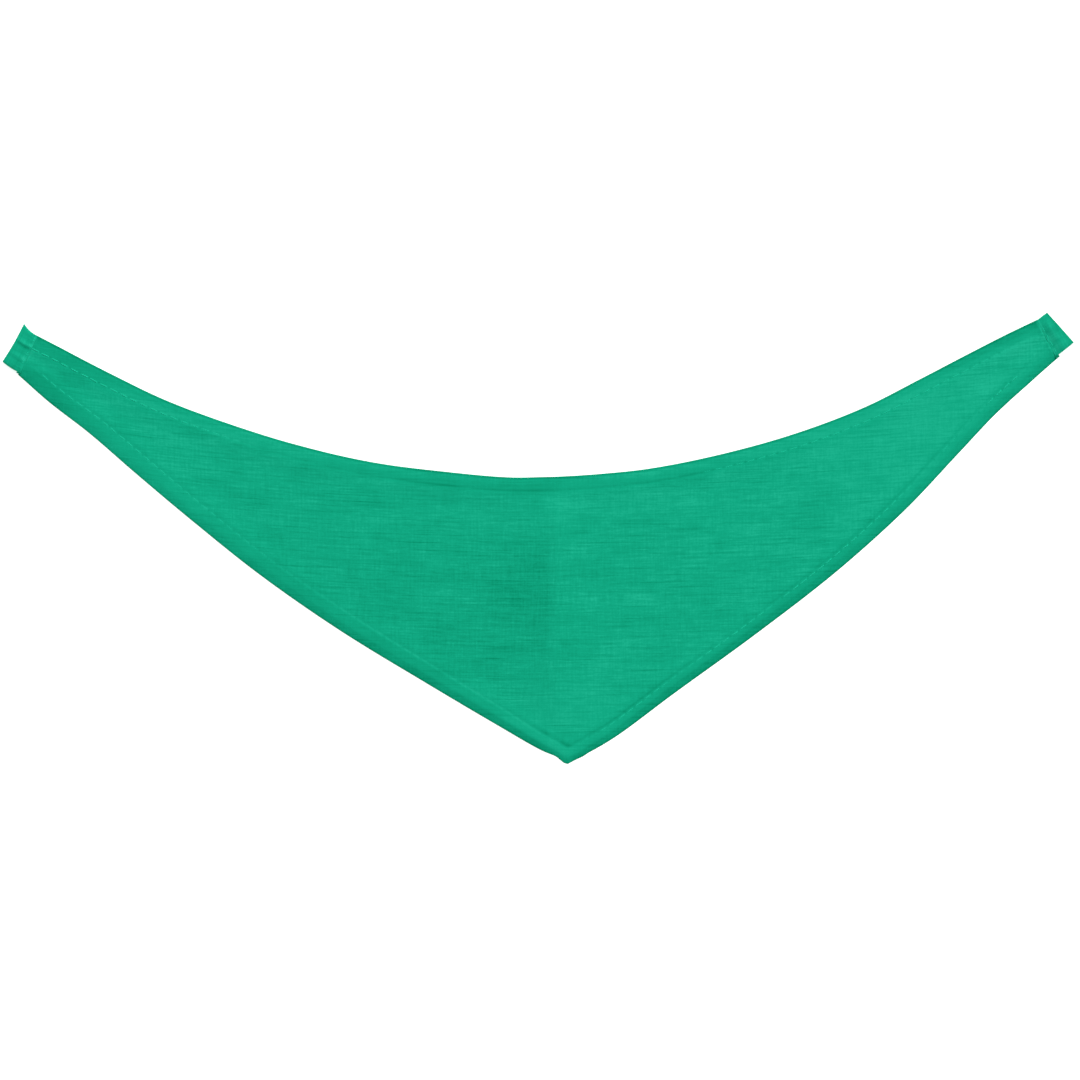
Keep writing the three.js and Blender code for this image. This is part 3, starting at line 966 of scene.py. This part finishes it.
def patch_tone_and_shade(x, y):
    """Tone, painted light and shade, and slub contrast that the patches add, with the painted shade
    left of the crease
    """
    tone = np.zeros_like(x)
    contrast = np.full_like(x, SLUB_CONTRAST)
    for patch in table(PATCH_COLUMNS, LIGHT_SHADE_AND_TONE_PATCHES):
        here = hill(x / MM - patch.x, patch.reach_x) * hill(y / MM - patch.y, patch.reach_y)
        tone = tone + patch.lift * here
        contrast = contrast + patch.slubs * here
    beside = CREASE_X - x
    shade = hill(beside, CREASE_REACH_X) * hill(y - CREASE_Y, CREASE_REACH_Y)
    shade = shade * smoothstep(beside / CREASE_EDGE + 0.5)
    return tone + CREASE_TONE * shade, contrast + CREASE_SLUBS * shade


def edge_values(edge, x, *names):
    """Columns of an edge's table, read off at places along X"""
    return read_off(EDGE_COLUMNS, EDGE_TONE_AND_SHADE[edge], x / MM, *names)


def hem_tone_and_shade(edge, sections, inset, x):
    """Tone of one hem with its painted shade and light, from its shaded border to the painted shade
    of the groove inside its stitches
    """
    rim, band, ridge, groove = edge_values(edge, x, "rim", "band", "ridge", "groove")
    from_stitch = inset - getattr(sections, edge + "_stitch")[:, None]
    on_border = fading(inset, BORDER_REACH[edge], BORDER_FADE)
    reach = RIM_REACH - POINT_RIM_LOSS * hill(x - POINT_X, POINT_RIM_WIDTH)
    on_rim = fading(inset, reach, RIM_FADE)
    on_band = (1 - on_rim) * fading(from_stitch, -BAND_INSIDE, BAND_FADE)
    tone = rim * on_rim + band * on_band + ridge * hill(from_stitch, RIDGE_WIDTH)
    tone = tone + groove * hill(from_stitch - GROOVE_PLACE, GROOVE_BAND)
    return tone + BORDER_SHADE[edge] * on_border


def beside_tab_light_and_shade(sections, distance, x):
    """Painted light and shade on the cloth right beside the tabs"""
    share = distance / sections.length[:, None]
    left, right = read_off(SEAM_COLUMNS, SEAM_LIGHT_AND_SHADE, share, "left", "right")
    near = hill(sections.from_seam[:, None] - SEAM_SHADING_PLACE, SEAM_SHADING_WIDTH)
    return np.where(x < 0, left, right) * near


def seam_place(sections, from_neck, from_lower, x):
    """Place along the nearest stitched line, distance from it and how far it shows"""
    off_neck = from_neck - sections.neck_stitch[:, None]
    off_lower = from_lower - sections.lower_stitch[:, None]
    nearer = np.abs(off_neck) < np.abs(off_lower)
    along = np.where(nearer, sections.neck_along[:, None], sections.lower_along[:, None])
    show_neck, = edge_values("neck", x, "show")
    show_lower, = edge_values("lower", x, "show")
    off = np.where(nearer, off_neck, off_lower)
    return np.stack([along, off, np.where(nearer, show_neck, show_lower)], axis=-1)


def panel_piece(sections, material):
    distance, height = panel_upper_grid(sections)
    plan = panel_points(sections, distance)
    body = lifted(plan, height)
    under = body - grid_normals(body) * CLOTH_WALL
    under[..., 2] = np.maximum(under[..., 2], FLOOR_GAP)
    left_tongue = tongue_columns(sections, distance, 0, -1)[::-1]
    right_tongue = tongue_columns(sections, distance, -1, 1)
    upper = np.concatenate([left_tongue, body, right_tongue])
    wall = np.array([0.0, 0.0, CLOTH_WALL])
    lower = np.concatenate([left_tongue - wall, under, right_tongue - wall])
    from_neck = distance / sections.neck_stretch[:, None]
    from_lower = lower_inset(sections, distance)
    x = plan[..., 0]
    # Tone of the cloth with painted light and shade: patches, crease, hems and the line beside the
    # tabs
    tone, contrast = patch_tone_and_shade(x, plan[..., 1])
    tone = tone + hem_tone_and_shade("neck", sections, from_neck, x)
    tone = tone + hem_tone_and_shade("lower", sections, from_lower, x)
    tone = tone + beside_tab_light_and_shade(sections, distance, x)
    seam = seam_place(sections, from_neck, from_lower, x)
    doubled = fading(seam[..., 1], HEM_SLUB_EDGE, HEM_SLUB_FADE)
    on_rim = fading(np.minimum(from_neck, from_lower), RIM_SLUB_EDGE, RIM_SLUB_FADE)
    contrast = contrast * lerp(1, lerp(HEM_CONTRAST, RIM_CONTRAST, on_rim), doubled)
    ends = ((2, 2), (0, 0))
    tone = np.pad(tone, ends, mode="edge")
    contrast = np.pad(contrast, ends, mode="edge")
    seam = np.pad(seam, ends + ((0, 0),), mode="edge")
    grain = cloth_grain(upper[..., 0], upper[..., 1])
    return sheet_piece("panel_cloth", upper, lower, material, grain, tone, contrast, seam)


def tongue_columns(sections, distance, end, side):
    """Flat end of the tail that goes into the tab, as two narrower columns of points"""
    share = distance[end] / sections.length[end]
    direction = sections.direction[end]
    start = sections.neck[end] + direction * TONGUE_INSET
    run = (TAB_WIDTH - 2 * TONGUE_INSET) * share[:, None] * direction
    plan = np.stack([
        start + run + outward(direction, side) * reach
        for reach in (TONGUE_START, LAYER_GAP + TONGUE_LENGTH)
    ])
    return lifted(plan, np.full(plan.shape[:2], TONGUE_TOP))


# Turned hems

def hem_strip(name, sections, edge, material):
    """Turned strip under one edge: two layers of cloth joined by the fold at its inner side"""
    hem = getattr(sections, edge + "_hem")
    stretch = getattr(sections, edge + "_stretch")
    fold = (STRIP_TOP - STRIP_BOTTOM) / 2
    middle = (STRIP_TOP + STRIP_BOTTOM) / 2
    share = np.linspace(0, 1, 8)
    turn = np.radians(np.linspace(90, -90, 9))[1:-1]
    end = (hem - fold)[:, None]
    inset = np.concatenate([
        lerp(STRIP_UPPER_INSET, end, share),
        end + fold * np.cos(turn),
        lerp(end, STRIP_LOWER_INSET, share),
    ], axis=1)
    height = np.concatenate([
        np.full(len(share), STRIP_TOP),
        middle + fold * np.sin(turn),
        np.full(len(share), STRIP_BOTTOM),
    ])
    distance = inset * stretch[:, None]
    if edge == "lower":
        distance = sections.length[:, None] - distance
    plan = panel_points(sections, distance)
    waves = soft_noise(plan[..., 0], plan[..., 1], STRIP_WAVE_SIZE, seed=17)
    grid = lifted(plan, height + STRIP_WAVE_HEIGHT * waves)
    if edge == "lower":
        grid = grid[:, ::-1]
    grain = cloth_grain(grid[..., 0], grid[..., 1])
    tone = np.full(distance.shape, STRIP_TONE)
    return offset_sheet(name, grid, STRIP_WALL, material, grain, tone)


def part_of(sections, start, end):
    """Sections from one index to another"""
    return SimpleNamespace(**{name: values[start:end] for name, values in vars(sections).items()})


# End tabs

def pucker_values(rows, share, name):
    """Rise or tone of the puckers at a share of the tab's width"""
    rows = table(PUCKER_COLUMNS, rows)
    places = np.array([row.at for row in rows])
    values = np.array([getattr(row, name) for row in rows])
    index = np.clip(np.searchsorted(places, share, side="right") - 1, 0, len(rows) - 2)
    blend = smoothstep((share - places[index]) / (places[index + 1] - places[index]))
    return lerp(values[index], values[index + 1], blend)


def tab_lengths(tab, share):
    """Length of the tab from its mouth to its fold"""
    length = lerp(tab.neck_length, tab.lower_length, share)
    return (length - tab.fold_dent * np.sin(np.pi * share))[:, None]


def tab_profile(tab, share):
    """Middle of the folded cloth as distance from the mouth and height, from the lower
    layer round the fold and over the upper layer to its turned edge at the mouth"""
    length = tab_lengths(tab, share)
    low = FLOOR_GAP + TAB_WALL / 2
    crown = lerp(tab.crown, 1, smoothstep((share - CROWN_START) / CROWN_FADE))[:, None]
    top = TAB_MOUTH_TOP + (TAB_TOP - TAB_MOUTH_TOP) * crown - TAB_WALL / 2
    bend = length - TAB_FOLD_REACH
    mouth = -LAYER_GAP - TAB_OVERLAP
    mouth_top = TAB_MOUTH_TOP - MOUTH_WALL / 2
    drop = MOUTH_WALL * TURNED_DROP
    flat = np.linspace(0, 1, 9)
    fine = np.linspace(0, 1, 26)
    fold = np.radians(np.linspace(-90, 90, 17))[1:-1]
    edge = np.radians(np.linspace(90, 270, 9))[1:-1]
    slanted = share[:, None] - tab.skew * (1 - fine)
    rise = PUFF_HEIGHT * pucker_values(tab.puckers, slanted, "rise")
    arch = np.sin(np.pi * lerp(ARCH_START, ARCH_END, fine)) * rise
    turns = share * TAB_WIDTH / GATHER_PITCH + 0.8 * np.sin(7 * share)
    gather = GATHER_HEIGHT * np.sin(2 * math.pi * turns) * (0.5 + share / 2)
    arch = arch + gather[:, None] * hill(fine - GATHER_PLACE, GATHER_REACH)
    upper = lerp(top, mouth_top, smoothstep((fine - SLOPE_START) / (1 - SLOPE_START))) + arch
    fold_top = upper[:, :1]
    fold_middle = (fold_top + low) / 2
    turned = upper[:, -1:] - drop
    distance = np.concatenate([
        bend * flat,
        bend + TAB_FOLD_REACH * np.cos(fold),
        lerp(bend, mouth, fine),
        mouth + drop / 2 * np.cos(edge) * np.ones_like(bend),
        mouth + (TAB_TURN - mouth) * flat[None, :6] * np.ones_like(bend),
    ], axis=1)
    height = np.concatenate([
        np.full((len(share), len(flat)), low),
        fold_middle + (fold_top - low) / 2 * np.sin(fold),
        upper,
        upper[:, -1:] - drop / 2 + drop / 2 * np.sin(edge),
        turned * np.ones(6),
    ], axis=1)
    return distance, height


def tab_light_and_shade(tab, share, out, length):
    """Painted light and shade of the tab's puckers, mouth, fold and spots"""
    slanted = share - tab.skew * out
    distance = out * length
    tone = pucker_values(tab.puckers, slanted, "tone") * hill(out - PUCKER_PLACE, PUCKER_REACH)
    mouth = pucker_values(tab.puckers, share, "mouth")
    tone = tone + mouth * hill(distance + LAYER_GAP + TAB_OVERLAP, TAB_SHADING_WIDTH)
    tone = tone + tab.fold_shade * hill(distance - length, TAB_SHADING_WIDTH)
    for spot in table(SPOT_COLUMNS, tab.spots):
        aside = (share - spot.at) * TAB_WIDTH
        apart = np.hypot(aside, distance - spot.out * length)
        tone = tone + spot.tone * hill(apart, spot.reach * MM)
    return tone


def tab_piece(name, tab, sections, end, material):
    """Strip of cloth folded over the end of the tail, with puckers and closed sides"""
    share = np.linspace(0, 1, TAB_ROWS)
    distance, height = tab_profile(tab, share)
    length = tab_lengths(tab, share)
    direction = sections.direction[end]
    away = outward(direction, tab.side)
    slide = lerp(tab.neck_slide, tab.lower_slide, share)[:, None]
    out = distance / length
    along = share[:, None] * TAB_WIDTH - slide * np.sign(out) * np.abs(out) ** tab.side_bend
    plan = sections.neck[end] + direction * along[..., None]
    plan = plan + away * (LAYER_GAP + distance)[..., None]
    from_side = np.minimum(share, 1 - share)[:, None] * TAB_WIDTH
    closed = 1 - np.sqrt(1 - (1 - np.clip(from_side / TAB_SIDE_ROUND, 0, 1)) ** 2)
    closed = closed * smoothstep(distance / SIDE_CLOSING_FADE) * SIDE_CLOSING
    height = lerp(height, (TAB_TOP + FLOOR_GAP) / 2, closed)
    waves = soft_noise(along, distance * TAB_WAVE_STRETCH, TAB_WAVE_SIZE, seed=31)
    height = np.maximum(height + TAB_WAVE_HEIGHT * waves, FLOOR_GAP + TAB_WALL / 2)
    wall = lerp(TAB_WALL, MOUTH_WALL, fading(distance, MOUTH_WALL_REACH, MOUTH_WALL_FADE))
    order = slice(None, None, -tab.side)
    grid = lifted(plan, height)[order]
    grain = np.stack([along, distance, np.zeros_like(along)], axis=-1)[order]
    tone = tab_light_and_shade(tab, share[:, None], out, length)[order]
    wall = wall[order]
    mouth_line = grid[2:-2, TAB_STITCH_COLUMN] + np.array([0.0, 0.0, MOUTH_WALL / 2])
    return offset_sheet(name, grid, wall, material, grain, tone), mouth_line


# Thread

def thread_stitches(name, line, along, pitch, length, show, material, seed, upward=1):
    """Stitches of two-ply thread that dip into the cloth at both ends. line holds points,
    along the place of each on the seam, and show how full and high the stitches there lie."""
    chance = np.random.default_rng(seed)
    first = math.floor(along[0] / pitch)
    count = int(along[-1] / pitch) - first
    shifts = chance.uniform(-STITCH_SHIFT, STITCH_SHIFT, count)
    middles = (first + 0.5 + np.arange(count) + shifts) * pitch
    lengths = length * chance.uniform(0.92, 1.05, count)
    steps = np.linspace(-1, 1, THREAD_STEPS)
    place = middles[:, None] + lengths[:, None] / 2 * steps
    route = np.stack([np.interp(place, along, line[:, axis]) for axis in range(3)], axis=-1)
    tangent = route[:, -1] - route[:, 0]
    tangent[:, 2] = 0
    tangent = tangent / np.linalg.norm(tangent, axis=1, keepdims=True)
    sideways = np.stack([-tangent[:, 1], tangent[:, 0], np.zeros(count)], axis=1)
    slant = chance.uniform(-STITCH_SLANT, STITCH_SLANT, count)[:, None] * steps
    route = route + sideways[:, None, :] * slant[..., None]
    seen = np.interp(middles, along, show)[:, None]
    radius = THREAD_RADIUS * lerp(TIGHT_SHARE, 1, seen)
    lift = radius * STITCH_ARCH * (1 - steps ** 4) - 2 * radius * steps ** 6
    lift = lift - THREAD_SINK - HIDDEN_SINK * (1 - seen) ** 2
    route[..., 2] += upward * lift
    vertices, faces = twisted_tubes(route, sideways, 2 * np.pi * place / PLY_TWIST, radius)
    return mesh_piece(name, vertices.tolist(), faces, material)


def edge_wraps(name, sections, end, side, outside, material):
    """Few loops of thread round the lower edge where the tab's seam ends"""
    out = sections.direction[end]
    run = outward(out, side)
    corner = sections.neck[end] + out * (sections.length[end] + outside)
    angles = np.radians(np.linspace(-150, 150, THREAD_STEPS))
    middles = (np.arange(WRAP_COUNT) - (WRAP_COUNT - 1) / 2) * WRAP_SPACING
    reach = WRAP_REACH * (1 - WRAP_NARROWING * (middles / middles[-1]) ** 2)
    inward = reach[:, None] * (np.cos(angles) - 1)
    plan = corner + inward[..., None] * out + middles[:, None, None] * run
    height = np.broadcast_to(WRAP_MIDDLE + WRAP_RISE * np.sin(angles), inward.shape)
    route = lifted(plan, height)
    sideways = np.tile(np.append(run, 0.0), (WRAP_COUNT, 1))
    turn = angles * WRAP_REACH * 2 * np.pi / PLY_TWIST + middles[:, None] * WRAP_TURN
    radius = np.full((WRAP_COUNT, 1), THREAD_RADIUS)
    vertices, faces = twisted_tubes(route, sideways, turn, radius)
    return mesh_piece(name, vertices.tolist(), faces, material)


def twisted_tubes(route, sideways, turn, radius):
    """Two plies twisted round each row of points. radius holds that row's thread radius."""
    up = np.array([0.0, 0.0, 1.0])
    across = sideways[:, None, :]
    ring = np.arange(THREAD_SIDES) * 2 * np.pi / THREAD_SIDES
    blocks = []
    faces = []
    start = 0
    for ply in range(2):
        angle = (turn + np.pi * ply)[..., None]
        apart = radius[..., None] * PLY_OFFSET
        centre = route + apart * (np.cos(angle) * across + np.sin(angle) * up)
        tube = centre[:, :, None, :] + radius[..., None, None] * PLY_RADIUS * (
            np.cos(ring)[:, None] * across[:, :, None, :] + np.sin(ring)[:, None] * up)
        index = np.arange(tube[..., 0].size).reshape(tube.shape[:3]) + start
        start += index.size
        following = np.roll(index, -1, axis=2)
        quads = np.stack([
            index[:, :-1], index[:, 1:], following[:, 1:], following[:, :-1],
        ], axis=-1).reshape(-1, 4)
        faces += quads.tolist()
        faces += index[:, 0].tolist()
        faces += index[:, -1, ::-1].tolist()
        blocks.append(tube.reshape(-1, 3))
    vertices = np.vstack(blocks)
    vertices[:, 2] = np.maximum(vertices[:, 2], THREAD_FLOOR)
    return vertices, faces


def seam_line(sections, edge):
    """Topstitched line on the panel's upper face, the place of its points and how far its
    stitches show"""
    inset = getattr(sections, edge + "_stitch")[:, None]
    if edge == "neck":
        distance = inset * sections.neck_stretch[:, None]
    else:
        distance = lower_distance(sections, inset)
    plan = panel_points(sections, distance)[:, 0]
    show, = edge_values(edge, plan[:, 0], "show")
    line = lifted(plan, panel_height(sections, distance)[:, 0])
    return line, getattr(sections, edge + "_along"), show


# Materials

def srgb(red, green, blue):
    """Linear colour from screen values between 0 and 255"""
    values = np.array([red, green, blue]) / 255.0
    linear = np.where(values <= 0.04045, values / 12.92, ((values + 0.055) / 1.055) ** 2.4)
    return (*linear.tolist(), 1.0)


class Nodes:
    """Small helper that adds and joins the nodes of one material"""

    def __init__(self, name):
        self.material = bpy.data.materials.new(name)
        self.material.use_nodes = True
        self.tree = self.material.node_tree
        self.tree.nodes.clear()

    def add(self, kind, inputs=None, **settings):
        node = self.tree.nodes.new(kind)
        for name, value in settings.items():
            setattr(node, name, value)
        for name, value in (inputs or {}).items():
            self.put(node, name, value)
        return node

    def put(self, node, name, value):
        if isinstance(value, bpy.types.NodeSocket):
            self.tree.links.new(value, node.inputs[name])
        else:
            node.inputs[name].default_value = value

    def math(self, operation, first, second=0.0, third=0.0):
        node = self.add("ShaderNodeMath", {0: first, 1: second, 2: third}, operation=operation)
        return node.outputs[0]

    def remap(self, value, low, high, start, end):
        inputs = {
            "Value": value, "From Min": low, "From Max": high, "To Min": start, "To Max": end,
        }
        return self.add("ShaderNodeMapRange", inputs).outputs["Result"]

    def noise(self, place, length, width, detail=2.0, roughness=0.5):
        """Noise stretched to a length along the slubs and a width across them"""
        scaled = self.add(
            "ShaderNodeVectorMath",
            {0: place, 1: (1 / length, 1 / width, 1.0)},
            operation="MULTIPLY",
        ).outputs[0]
        inputs = {"Vector": scaled, "Scale": 1.0, "Detail": detail, "Roughness": roughness}
        return self.add("ShaderNodeTexNoise", inputs).outputs["Fac"]

    def offset(self, place, x, y):
        node = self.add("ShaderNodeVectorMath", {0: place, 1: (x, y, 0.0)}, operation="ADD")
        return node.outputs[0]

    def attribute(self, name, output="Fac"):
        return self.add("ShaderNodeAttribute", attribute_name=name).outputs[output]

    def object_place(self):
        return self.add("ShaderNodeTexCoord").outputs["Object"]

    def ramp(self, value, first, last):
        """Colour between two stops, each a place and its colour"""
        node = self.add("ShaderNodeValToRGB", {"Fac": value})
        for element, stop in zip(node.color_ramp.elements, (first, last)):
            element.position, element.color = stop
        return node

    def bump(self, height, distance):
        inputs = {"Strength": 0.5, "Distance": distance, "Height": height}
        return self.add("ShaderNodeBump", inputs).outputs["Normal"]

    def surface(self, inputs):
        """The finished material, from the inputs of its shader"""
        shader = self.add("ShaderNodeBsdfPrincipled", inputs)
        output = self.add("ShaderNodeOutputMaterial")
        self.tree.links.new(shader.outputs[0], output.inputs["Surface"])
        return self.material


def cotton(name, base, dark, light, stitched=False):
    """Plain-woven slubby cotton"""
    nodes = Nodes(name)
    grain = nodes.attribute("grain", "Vector")
    slubs = nodes.noise(grain, 26 * MM, 0.95 * MM, detail=1.5)
    threads = nodes.noise(nodes.offset(grain, 0.31, 0.17), 6 * MM, 0.8 * MM, detail=1.0)
    warp = nodes.noise(nodes.offset(grain, 0.53, 0.29), 0.8 * MM, 10 * MM, detail=1.0)
    cloud = nodes.noise(nodes.offset(grain, 0.71, 0.11), 22 * MM, 10 * MM, detail=3.0)
    speck = nodes.noise(nodes.offset(grain, 0.13, 0.43), 1.0 * MM, 0.8 * MM, detail=1.0)
    hairs = nodes.noise(nodes.offset(grain, 0.83, 0.37), 32 * MM, 0.55 * MM, detail=1.0)
    pattern = nodes.math("MULTIPLY", nodes.remap(slubs, 0.28, 0.46, -1.0, 0.0), 0.06)
    pattern = nodes.math("MULTIPLY_ADD", nodes.remap(hairs, 0.25, 0.40, -1.0, 0.0), 0.24, pattern)
    for part, weight in (
        (slubs, 0.30), (threads, 0.34), (warp, 0.24), (cloud, 0.36), (speck, 0.24),
    ):
        centred = nodes.math("SUBTRACT", part, 0.5)
        pattern = nodes.math("MULTIPLY_ADD", centred, weight, pattern)
    shade = nodes.math("MULTIPLY_ADD", pattern, nodes.attribute("slubs"), 0.5)
    # The tone attribute adds the cloth's tone with its painted light and shade
    shade = nodes.math("MULTIPLY_ADD", nodes.attribute("tone"), TONE_STEP, shade)
    # Stitched cloth gets painted shade in its needle holes
    if stitched:
        shade = nodes.math("MULTIPLY_ADD", stitch_hole_shade(nodes), HOLE_SHADE, shade)
    ramp = nodes.ramp(shade, (0.0, dark), (1.0, light))
    ramp.color_ramp.elements.new(0.5).color = base
    height = nodes.math("MULTIPLY_ADD", slubs, 0.7, nodes.math("MULTIPLY", threads, 0.5))
    height = nodes.math("MULTIPLY_ADD", warp, 0.3, height)
    height = nodes.math("ADD", height, weave_height(nodes, grain))
    return nodes.surface({
        "Base Color": ramp.outputs["Color"],
        "Roughness": nodes.remap(threads, 0.3, 0.7, 0.86, 1.0),
        "Specular IOR Level": 0.03,
        "Sheen Weight": 0.03,
        "Sheen Roughness": 0.35,
        "Sheen Tint": srgb(120, 230, 190),
        "Normal": nodes.bump(height, 0.05 * MM),
    })


def stitch_hole_shade(nodes):
    """Painted shade in the needle holes at the ends of the stitches"""
    split = nodes.add("ShaderNodeSeparateXYZ", {"Vector": nodes.attribute("seam", "Vector")})
    along = nodes.math("PINGPONG", split.outputs["X"], STITCH_PITCH / 2)
    aside = nodes.math("MULTIPLY", split.outputs["Y"], split.outputs["Y"])
    square = nodes.math("MULTIPLY_ADD", along, along, aside)
    near = nodes.remap(nodes.math("SQRT", square), HOLE_CORE, HOLE_EDGE, 1.0, 0.0)
    return nodes.math("MULTIPLY", near, split.outputs["Z"])


def weave_height(nodes, grain):
    """Over and under of a plain weave, at the real pitch of its threads"""
    split = nodes.add("ShaderNodeSeparateXYZ", {"Vector": grain})
    waves = [
        nodes.math("SINE", nodes.math("MULTIPLY", split.outputs[axis], math.pi / WEAVE_PITCH))
        for axis in ("X", "Y")
    ]
    return nodes.math("MULTIPLY", nodes.math("MULTIPLY", waves[0], waves[1]), 0.35)


def thread(name, base, light):
    """Cotton sewing thread"""
    nodes = Nodes(name)
    fibres = nodes.noise(nodes.object_place(), 0.25 * MM, 0.12 * MM, detail=3.0)
    return nodes.surface({
        "Base Color": nodes.ramp(fibres, (0.3, base), (0.7, light)).outputs["Color"],
        "Roughness": nodes.remap(fibres, 0.3, 0.7, 0.78, 0.92),
        "Specular IOR Level": 0.04,
        "Normal": nodes.bump(fibres, 0.03 * MM),
    })


def brushed_metal(name):
    """Plain brushed steel of the hidden clasps"""
    nodes = Nodes(name)
    lines = nodes.noise(nodes.object_place(), 0.12 * MM, 6 * MM, detail=3.0)
    ramp = nodes.ramp(lines, (0.0, srgb(150, 152, 154)), (1.0, srgb(205, 206, 207)))
    return nodes.surface({
        "Base Color": ramp.outputs["Color"],
        "Metallic": 1.0,
        "Roughness": nodes.remap(lines, 0.3, 0.7, 0.32, 0.48),
    })


def floor_material():
    """Plain pale floor with a faint unevenness"""
    nodes = Nodes("floor_white")
    cloud = nodes.noise(nodes.object_place(), 0.6, 0.6)
    ramp = nodes.ramp(cloud, (0.0, (0.93, 0.93, 0.93, 1.0)), (1.0, (0.95, 0.95, 0.95, 1.0)))
    return nodes.surface({
        "Base Color": ramp.outputs["Color"],
        "Roughness": 0.9,
        "Specular IOR Level": 0.1,
        "Emission Color": (1.0, 1.0, 1.0, 1.0),
        "Emission Strength": 0.6,
    })


# Camera, light and floor

def make_camera():
    camera_data = bpy.data.cameras.new("camera")
    camera_data.lens = LENS
    camera_data.sensor_width = SENSOR
    camera = bpy.data.objects.new("camera", camera_data)
    camera.location = (CAMERA_X, CAMERA_Y, VIEW_WIDTH * LENS / SENSOR)
    bpy.context.scene.collection.objects.link(camera)
    bpy.context.scene.camera = camera


def make_light():
    key_data = bpy.data.lights.new("key", "SUN")
    key_data.energy = KEY_ENERGY
    key_data.angle = math.radians(KEY_SPREAD)
    key = bpy.data.objects.new("key", key_data)
    key.rotation_euler = (0.0, math.radians(KEY_TILT), math.radians(KEY_TURN))
    bpy.context.scene.collection.objects.link(key)
    world = bpy.data.worlds.new("studio")
    world.use_nodes = True
    background = world.node_tree.nodes["Background"]
    background.inputs["Color"].default_value = (1.0, 1.0, 1.0, 1.0)
    background.inputs["Strength"].default_value = WORLD_STRENGTH
    bpy.context.scene.world = world


def make_floor():
    signs = ((-1, -1), (1, -1), (1, 1), (-1, 1))
    corners = [(x * FLOOR_REACH, y * FLOOR_REACH, 0) for x, y in signs]
    floor = mesh_piece("floor", corners, [(0, 1, 2, 3)], floor_material())


def set_colours():
    settings = bpy.context.scene.view_settings
    settings.view_transform = "Standard"
    settings.look = "None"
    settings.exposure = 0.0
    settings.gamma = 1.0


# Assembly

make_camera()
make_light()
make_floor()
set_colours()

left_half = half_sections(LEFT_SECTIONS, -1, LEFT_TAIL_LEAN, LEFT_HEM, LEFT_STITCH_INSET)
right_half = half_sections(RIGHT_SECTIONS, 1, RIGHT_TAIL_LEAN, RIGHT_HEM, RIGHT_STITCH_INSET)
shift = frame_shift(left_half, right_half)
body_sections = joined_sections(left_half, right_half)
body_sections.neck = body_sections.neck + shift
widen(body_sections)
tip_index = len(left_half.length) - 1
straighten_hems(body_sections, tip_index)
body_sections.neck_along = path_lengths(body_sections.neck)
body_sections.lower_along = path_lengths(lower_points(body_sections))

cloth_colours = (srgb(15, 163, 126), srgb(0, 129, 93), srgb(44, 197, 160))
panel_cotton = cotton("panel_cotton", *cloth_colours, stitched=True)
panel = panel_piece(body_sections, panel_cotton)
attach(panel, "root")
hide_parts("panel")

count = len(body_sections.length)
hem_cotton = cotton("hem_cotton", *cloth_colours)
hems = (
    ("neck_hem", "neck", part_of(body_sections, 1, count - 1), (0.0125, 0.45), 0.0052),
    ("left_hem", "lower", part_of(body_sections, 1, tip_index), (0.0165, 0.27), 0.0038),
    ("right_hem", "lower", part_of(body_sections, tip_index + 1, count - 1), (0.0145, 0.26), 0.0034),
)
for node_name, edge, sections, flat, area in hems:
    strip = hem_strip(node_name + "_cloth", sections, edge, hem_cotton)
    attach(strip, "root")
    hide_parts(node_name)

tab_cotton = cotton("tab_cotton", *cloth_colours)
sewing_thread = thread("sewing_thread", srgb(18, 174, 137), srgb(34, 196, 158))
# A darker copy of the sewing thread: painted shade on the dense loops round the edge at the tabs
shaded_tack_thread = thread("shaded_tack_thread", srgb(4, 126, 92), srgb(14, 158, 120))
for tab_name, tab in TABS.items():
    end = 0 if tab.side < 0 else -1
    node_name = tab_name + "_tab"
    cuff, mouth_line = tab_piece(node_name + "_cloth", tab, body_sections, end, tab_cotton)
    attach(cuff, "root")
    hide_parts(node_name)
    row = thread_stitches(
        node_name + "_stitches", mouth_line, path_lengths(mouth_line), TAB_STITCH_PITCH,
        TAB_STITCH_LENGTH, np.full(len(mouth_line), TAB_STITCH_SHOW), sewing_thread, 21 + tab.side)
    wraps = edge_wraps(
        node_name + "_wraps", body_sections, end, tab.side, tab.tack_outside, shaded_tack_thread)
    for piece in (row, wraps):
        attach(piece, "root")

seams = (
    ("neck_stitches", "neck", part_of(body_sections, 1, count - 1), 11),
    ("left_hem_stitches", "lower", part_of(body_sections, 1, tip_index - TIP_GAP), 12),
    ("right_hem_stitches", "lower", part_of(body_sections, tip_index + TIP_GAP + 1, count - 1), 13),
)
for seam_name, edge, sections, seed in seams:
    line, along, show = seam_line(sections, edge)
    upper = thread_stitches(
        seam_name, line, along, STITCH_PITCH, STITCH_LENGTH, show, sewing_thread, seed)
    line[:, 2] = STRIP_BOTTOM - STRIP_WALL / 2 + UNDER_THREAD_LIFT
    under = thread_stitches(
        seam_name + "_under", line, along, STITCH_PITCH, STITCH_LENGTH, np.ones_like(show),
        sewing_thread, seed + 10, upward=-1)
    for piece in (upper, under):
        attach(piece, "root")

metal = brushed_metal("clasp_steel")
for node_name in ("left_clasp", "right_clasp"):
    for material_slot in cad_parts[node_name].material_slots:
        material_slot.material = metal
